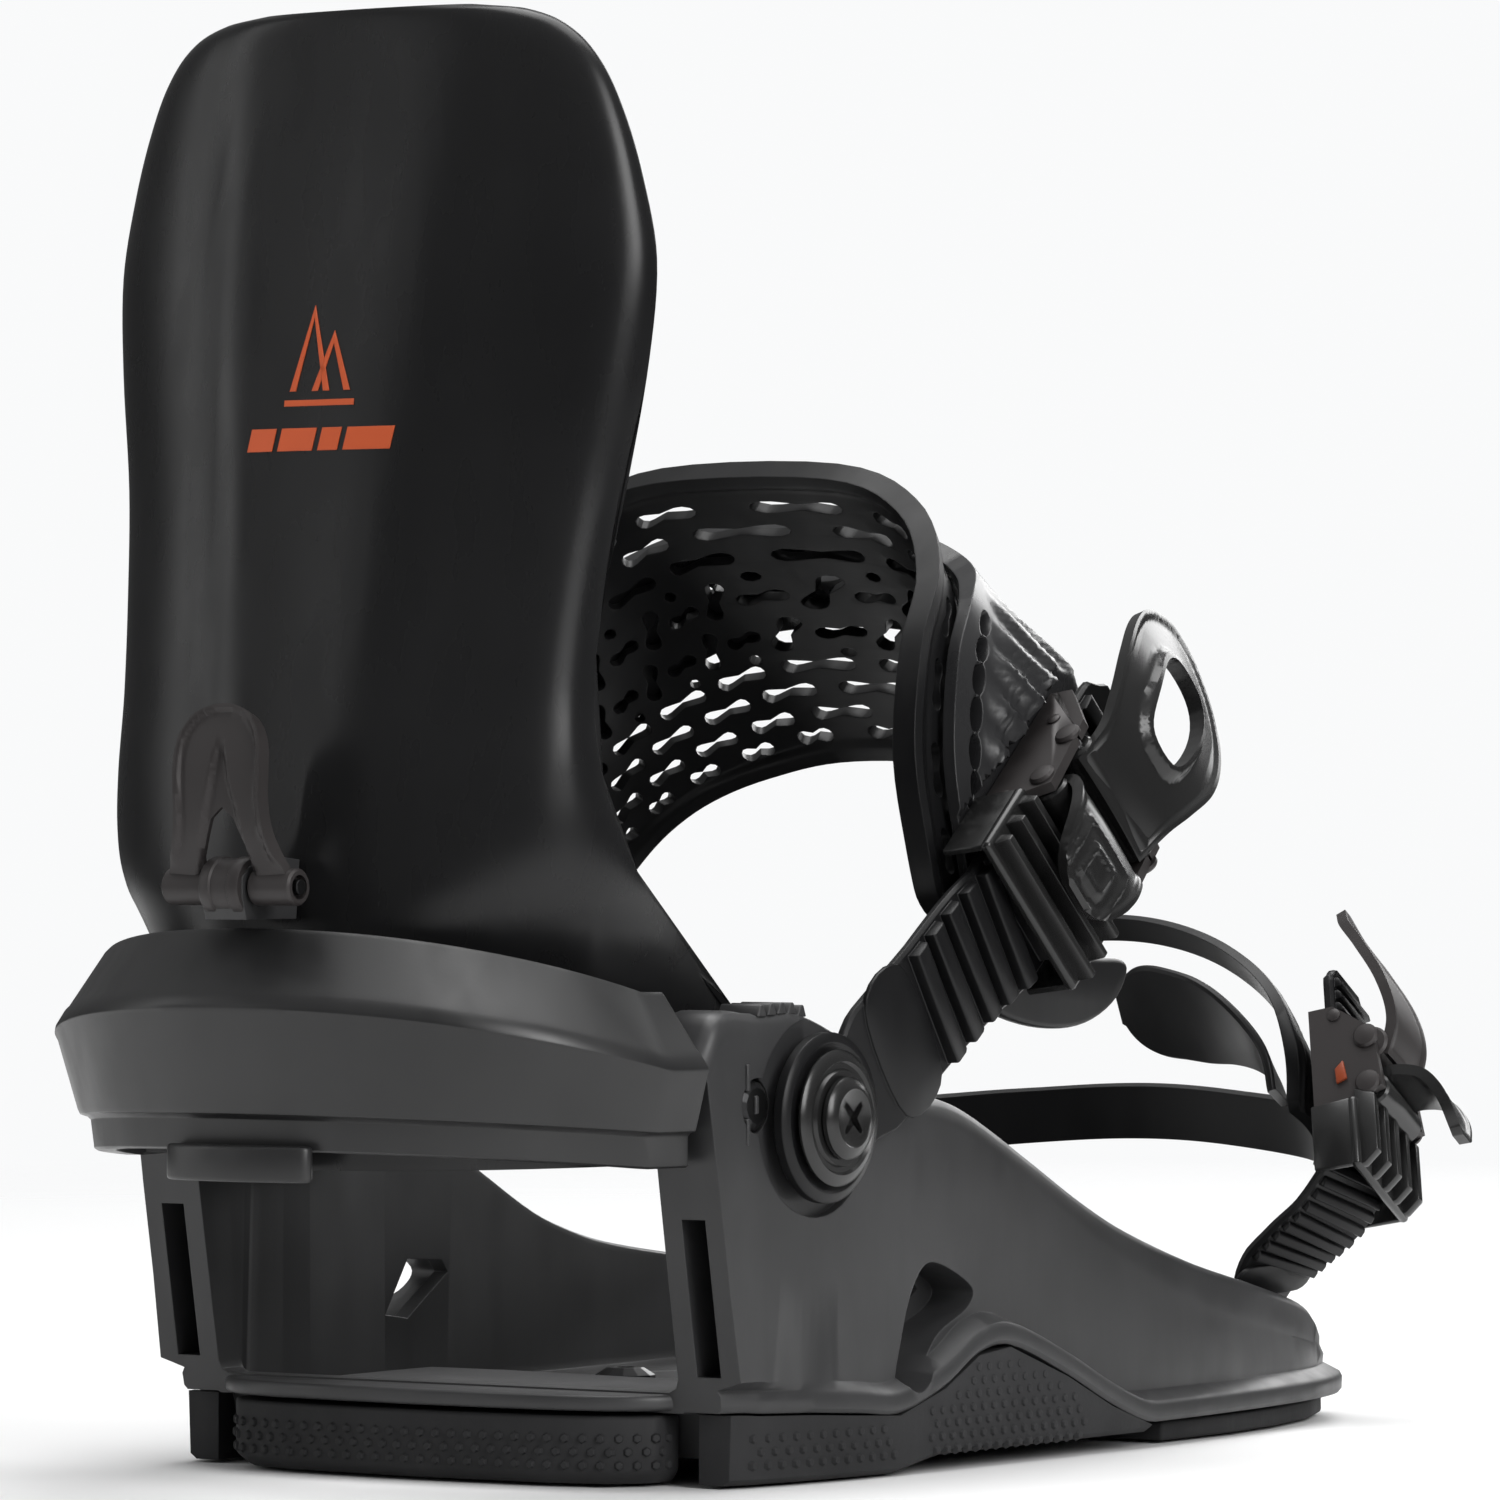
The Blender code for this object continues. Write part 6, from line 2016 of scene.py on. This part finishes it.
@dataclass
class Tread:
    """Small bumps on the outsides of the rubber feet."""

    pitch: float = 3.3
    row: float = 2.35
    radius: float = 1.2
    lowest: float = 3.4

    def bump(self, at: Vector, out: Vector) -> Mesh:
        """One six-sided bump.

        Args:
            at: Its middle.
            out: Where it points.

        Returns:
            The closed mesh.
        """
        work = bmesh.new()
        bmesh.ops.create_cone(work, cap_ends=True, segments=6, radius1=self.radius, radius2=0.55 * self.radius,
                              depth=1.1, matrix=axis_frame(at, out))
        return work

    def heel(self) -> list[Mesh]:
        """The bumps round the heel's foot.

        Returns:
            The bumps.
        """
        line = [(46.6, -98.5), (46.0, -105.0), (40.5, -111.0), (29.0, -114.2), (0.0, -115.8)]
        line += [(-x, y) for x, y in reversed(line[:-1])]
        path = [Vector((x, y, 0)) for x, y in line]
        marks = [0.0]
        for a, b in zip(path, path[1:]):
            marks.append(marks[-1] + (b - a).length)
        found = []
        for k in range(3):
            for i in range(int(marks[-1] / self.pitch) - 1):
                distance = (i + 1 + 0.5 * (k % 2)) * self.pitch
                j = next(n for n in range(len(path) - 1) if distance <= marks[n + 1])
                run = path[j + 1] - path[j]
                at = path[j] + run * ((distance - marks[j]) / run.length)
                out = Vector((-run.y, run.x, 0)).normalized()
                if out.dot(at) < 0:
                    out.negate()
                at.z = self.lowest + self.row * k
                found.append(self.bump(at, out))
        return found

    def flank(self, side: int) -> list[Mesh]:
        """The bumps on one side's foot, at the heel and under the arch.

        Args:
            side: 1 on the right, -1 on the left.

        Returns:
            The bumps.
        """
        rows, found = Chassis().stations, []
        for k in range(8):
            z = self.lowest + self.row * k
            for i in range(30):
                y = -97.0 + (i + 0.5 * (k % 2)) * self.pitch
                row = read_row(rows, y)
                if z < row[1] - 2.4 and not -60.0 < y < -50.0:
                    found.append(self.bump(Vector((side * (row[3] - 0.55), y, z)), Vector((side, 0, 0))))
        return found

    def build(self) -> list[bpy.types.Object]:
        """Builds the bumps of the three feet.

        Returns:
            The pieces.
        """
        return [piece("heel_bushing_tread", joined(self.heel()), RUBBER, "base"),
                piece("side_bushing_right_tread", joined(self.flank(1)), RUBBER, "base"),
                piece("side_bushing_left_tread", joined(self.flank(-1)), RUBBER, "base")]


# ---- studio


@dataclass(frozen=True)
class Softbox:
    """A rectangular light that faces the object, in metres and watts."""

    name: str
    place: Triple
    size: Point
    power: float

    def hang(self) -> None:
        """Hangs the light."""
        data = bpy.data.lights.new(self.name, "AREA")
        data.shape, data.size, data.size_y, data.energy = "RECTANGLE", *self.size, self.power
        obj = linked(self.name, data)
        obj.location = self.place
        obj.rotation_euler = (Vector((0, 0, 0.12)) - Vector(self.place)).to_track_quat("-Z", "Y").to_euler()


@dataclass
class Studio:
    """A pale floor, soft lights and the camera."""

    turn: float = 34.0
    distance: float = 1.62
    height: float = 0.1175
    lens: float = 208.08
    shift: Point = (-0.016333, 0.039333)
    # from and to in the direction's height, then the strengths of the lighting world there
    sky: Sequence[float] = (-0.05, 0.75, 0.055, 0.40)
    pale: Sequence[float] = (0.95, 0.955, 0.96, 1)
    lights: Sequence[Softbox] = (
        Softbox("key", (1.6, -0.5, 0.9), (0.7, 1.1), 19.0),
        Softbox("side", (-1.4, -0.9, 0.5), (0.25, 1.3), 2.6),
        Softbox("strip_left", (-1.15, -1.75, 0.55), (0.05, 1.2), 1.3),
        Softbox("strip_right", (1.9, -1.2, 1.0), (0.07, 1.5), 3.2),
        Softbox("top", (0.0, 0.2, 1.7), (1.4, 1.4), 27.0),
        Softbox("rear", (-0.2, 1.6, 0.8), (1.2, 0.7), 11.5),
    )

    def camera(self) -> bpy.types.Object:
        """Sets the scene's camera.

        Returns:
            The camera.
        """
        data = bpy.data.cameras.new("camera")
        data.sensor_width, data.lens = 36.0, self.lens
        data.shift_x, data.shift_y = self.shift
        data.clip_start, data.clip_end = 0.05, 50.0
        obj = linked("camera", data)
        turn = math.radians(self.turn)
        obj.location = (math.sin(turn) * self.distance, -math.cos(turn) * self.distance, self.height)
        obj.rotation_euler = (math.radians(90), 0, turn)
        bpy.context.scene.camera = obj
        return obj

    def floor(self) -> bpy.types.Object:
        """Lays a pale floor that fades out far from the object.

        Returns:
            The floor.
        """
        work = bmesh.new()
        bmesh.ops.create_circle(work, cap_ends=True, segments=96, radius=3.0)
        bmesh.ops.translate(work, vec=(0, 0, -0.0006), verts=work.verts)
        mesh = bpy.data.meshes.new("floor")
        work.to_mesh(mesh)
        work.free()
        sheet = NodeSheet("pale_floor")
        sheet.shader.inputs["Base Color"].default_value = (0.86, 0.86, 0.86, 1)
        sheet.shader.inputs["Roughness"].default_value = 0.6
        clear = sheet.add("ShaderNodeBsdfTransparent")
        mix = sheet.add("ShaderNodeMixShader")
        length = sheet.add("ShaderNodeVectorMath", operation="LENGTH")
        sheet.join(sheet.coords, length.inputs[0])
        sheet.join(sheet.ranged(length.outputs["Value"], (0.35, 1.3), (0.0, 1.0)), mix.inputs[0])
        sheet.join(sheet.shader.outputs[0], mix.inputs[1])
        sheet.join(clear.outputs[0], mix.inputs[2])
        sheet.join(mix.outputs[0], sheet.tree.nodes["Material Output"].inputs["Surface"])
        mesh.materials.append(sheet.material)
        obj = linked("floor", mesh)
        return obj

    def world(self) -> None:
        """Sets a world that the camera sees as a bright backdrop and that lights the object dimly, more from above."""
        world = bpy.data.worlds.new("studio")
        world.use_nodes = True
        tree = world.node_tree
        soft = tree.nodes["Background"]
        soft.inputs["Color"].default_value = self.pale
        split = tree.nodes.new("ShaderNodeSeparateXYZ")
        tree.links.new(tree.nodes.new("ShaderNodeTexCoord").outputs["Generated"], split.inputs[0])
        rise = tree.nodes.new("ShaderNodeMapRange")
        for place, value in enumerate(self.sky, 1):
            rise.inputs[place].default_value = value
        tree.links.new(split.outputs["Z"], rise.inputs[0])
        tree.links.new(rise.outputs[0], soft.inputs["Strength"])
        seen = tree.nodes.new("ShaderNodeBackground")
        seen.inputs["Color"].default_value = self.pale
        mix = tree.nodes.new("ShaderNodeMixShader")
        tree.links.new(tree.nodes.new("ShaderNodeLightPath").outputs["Is Camera Ray"], mix.inputs[0])
        tree.links.new(soft.outputs[0], mix.inputs[1])
        tree.links.new(seen.outputs[0], mix.inputs[2])
        tree.links.new(mix.outputs[0], tree.nodes["World Output"].inputs["Surface"])
        bpy.context.scene.world = world

    def build(self) -> None:
        """Sets up the whole studio."""
        self.world()
        view = bpy.context.scene.view_settings
        view.view_transform, view.look = "Standard", "None"
        self.camera()
        self.floor()
        for softbox in self.lights:
            softbox.hang()


# ---- the whole binding


def dress_rest() -> None:
    """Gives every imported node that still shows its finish."""
    by_slot = {"nylon": CHASSIS, "gloss_nylon": GLOSS, "rubber": RUBBER, "foam": FOAM, "flexible": STRAP,
               "black_alloy": ALLOY, "steel": STEEL}
    slots = {row["node"]: row["material_slot"] for row in FRAME["record"]["subparts"]}
    for node, obj in FRAME["nodes"].items():
        finish = DARK_SCREW if "_screw_" in node or node == "lean_pin" else by_slot[slots[node]]
        for place in obj.material_slots:
            place.material = finish.material()


def body_of(node: str) -> str:
    """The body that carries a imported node."""
    return next(body for body, nodes in FRAME["record"]["behaviour"]["bodies"].items() if node in nodes)


def main() -> None:
    """Builds the binding, then the studio."""
    logging.basicConfig(level=logging.INFO, format="%(message)s")
    dress_rest()
    for assembly in (Highback(), AnklePad(), Chassis(), HeelLoop(), AnkleFrame(), ankle_ladder(), toe_ladder(),
                     ankle_buckle(), toe_buckle(), ToeCap()):
        assembly.build()
    tongues()
    LeanLever().build()
    lean_block()
    for assembly in (Pivot(1, "right"), Pivot(-1, "left"), Tread()):
        assembly.build()
    for node, finish, width in (
        ("side_bushing_right", RUBBER, 0.0), ("side_bushing_left", RUBBER, 0.0), ("toe_bushing", RUBBER, 0.6),
        ("heel_bushing", RUBBER, 0.7), ("heel_bed", FOAM, 0.9), ("toe_ramp_pad", FOAM, 0.6),
        ("toe_ramp", CHASSIS, 0.5), ("mounting_disc", CHASSIS, 0.0),
    ):
        shown = dressed_copy(node, finish, body_of(node), width)
    Studio().build()


if __name__ == "__main__":
    main()
